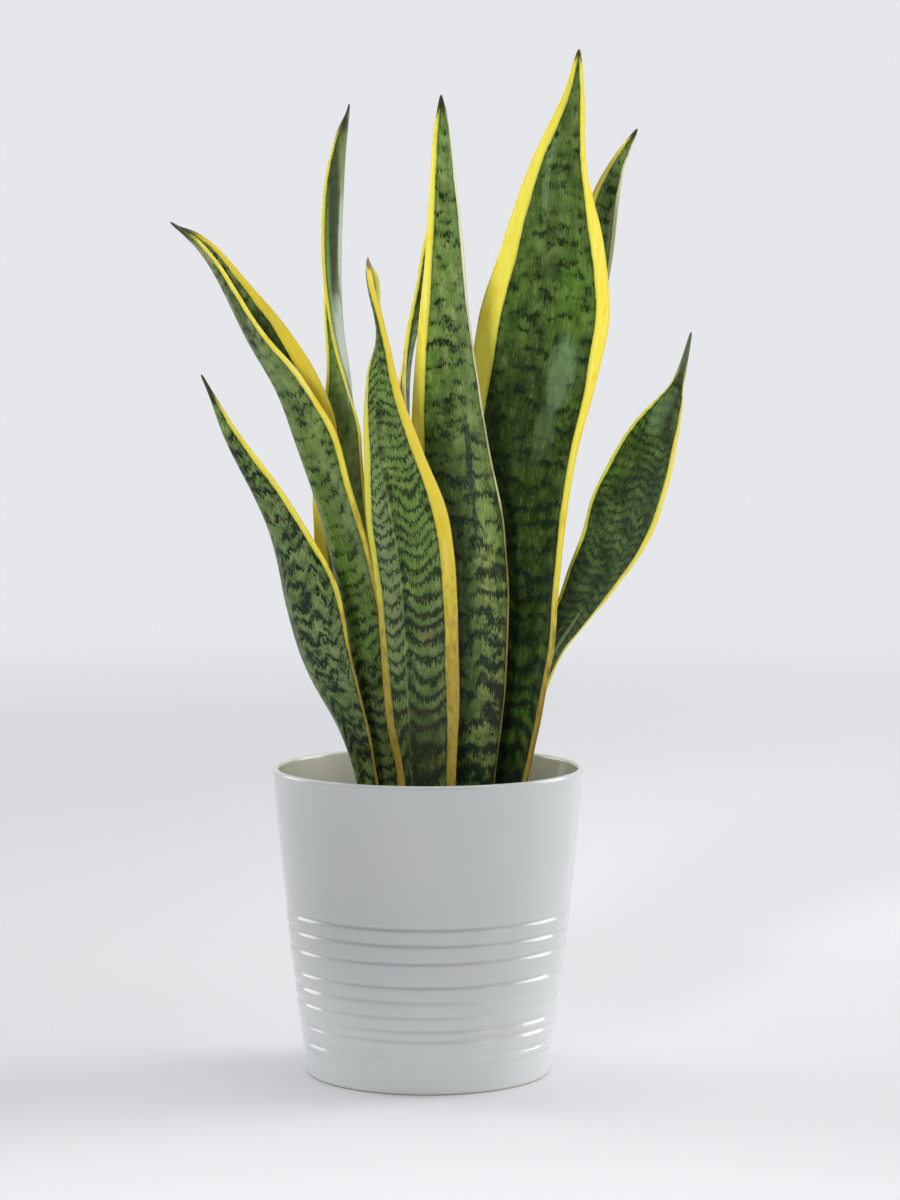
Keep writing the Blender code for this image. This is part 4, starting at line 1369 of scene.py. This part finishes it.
class PLANT_OT_soil(bpy.types.Operator):
    """Fill the pot with soil and strew its crumbs, chips and grains"""

    bl_idname = "plant.soil"
    bl_label = "Soil"

    def execute(self, context):
        look = context.scene.plant_soil
        peat = earth_finish("peat", look.peat, 0.55, 0.92)
        bark = earth_finish("bark", look.bark, 0.45, 0.8)
        perlite = earth_finish("perlite", look.perlite, 0.12, 0.85)
        slot = "potting_soil"
        add_piece("soil_bed", soil_mesh(), peat, slot, "soil")
        crumbs = lump_mesh("crumbs", look.crumbs, 21, (0.8, 2.2), (1.2, 1.0, 0.9), 0.55)
        chips = lump_mesh("chips", look.chips, 22, (1.2, 2.6), (2.2, 1.2, 0.45), 0.6)
        grains = lump_mesh("grains", look.grains, 23, (0.8, 1.6), (1.1, 1.0, 1.0), 0.7)
        add_piece("soil_crumbs", crumbs, peat, slot)
        add_piece("soil_bark_chips", chips, bark, slot)
        add_piece("soil_perlite", grains, perlite, slot)
        return {"FINISHED"}


class PLANT_OT_leaves(bpy.types.Operator):
    """Grow the nine leaves"""

    bl_idname = "plant.leaves"
    bl_label = "Leaves"

    def execute(self, context):
        look = context.scene.plant_leaves
        for leaf in LEAVES:
            add_piece(leaf.name + "_blade", leaf_mesh(leaf, look), leaf_finish(leaf, look),
                      "leaf", leaf.name)
        return {"FINISHED"}


class PLANT_OT_studio(bpy.types.Operator):
    """Lay the floor and set up the light and the camera"""

    bl_idname = "plant.studio"
    bl_label = "Studio"

    def execute(self, context):
        look = context.scene.plant_studio
        floor = bpy.data.objects.new("floor", floor_mesh(6.0))
        floor.data.materials.append(floor_finish(look))
        context.scene.collection.objects.link(floor)
        light_world(look)
        middle = (0, 0, 0.3)
        add_softbox("left_strip", (-3.4, 1.8, 1.2), middle, (1.8, 2.4), 36)
        add_softbox("right_strip", (3.0, 1.0, 1.2), middle, (1.8, 2.4), 54)
        add_softbox("right_front", (3.0, -2.2, 0.8), middle, (1.0, 1.6), 12)
        add_softbox("overhead", (0.1, -0.3, 2.2), middle, (2.2, 2.2), 15)
        add_spot("leaf_light", (-0.7, -1.8, 1.15), (0, 0, 0.56), 23, 0.2, 125)
        add_spot("floor_light", (-0.2, -1.5, 1.6), (0, -0.62, 0.0), 34, 0.04, 36)
        add_spot("foot_light", (0.1, -1.3, 0.06), (0, -0.08, -0.01), 9, 0.03, 4)
        add_spot("foot_left", (-1.1, -0.75, 0.05), (-0.05, -0.04, -0.01), 9, 0.03, 13)
        add_spot("foot_right", (1.2, -0.5, 0.05), (0.06, -0.03, -0.01), 9, 0.03, 8)
        add_camera(look)
        context.scene.view_settings.view_transform = "Standard"
        return {"FINISHED"}


class PLANT_PT_panel(bpy.types.Panel):
    """The plant's pieces and their settings"""

    bl_idname = "PLANT_PT_panel"
    bl_label = "Potted Snake Plant"
    bl_space_type = "VIEW_3D"
    bl_region_type = "UI"
    bl_category = "Plant"

    def draw(self, context):
        for operator, _, group in PIECES:
            box = self.layout.box()
            box.operator(operator.bl_idname)
            settings = getattr(context.scene, group)
            for name in settings.__annotations__:
                box.prop(settings, name)


PIECES = [
    (PLANT_OT_pot, PotLook, "plant_pot"),
    (PLANT_OT_soil, SoilLook, "plant_soil"),
    (PLANT_OT_leaves, LeafLook, "plant_leaves"),
    (PLANT_OT_studio, StudioLook, "plant_studio"),
]
CLASSES = [cls for operator, look, _ in PIECES for cls in (look, operator)] + [PLANT_PT_panel]


def register():
    """Make the settings, the operators and the panel known."""
    for cls in CLASSES:
        bpy.utils.register_class(cls)
    for _, look, group in PIECES:
        setattr(bpy.types.Scene, group, PointerProperty(type=look))


def unregister():
    """Take the settings, the operators and the panel away again."""
    for _, _, group in PIECES:
        delattr(bpy.types.Scene, group)
    for cls in reversed(CLASSES):
        bpy.utils.unregister_class(cls)


def main():
    """Build the whole model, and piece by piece."""
    register()
    bpy.ops.plant.pot()
    bpy.ops.plant.soil()
    bpy.ops.plant.leaves()
    bpy.ops.plant.studio()


if __name__ == "__main__":
    main()
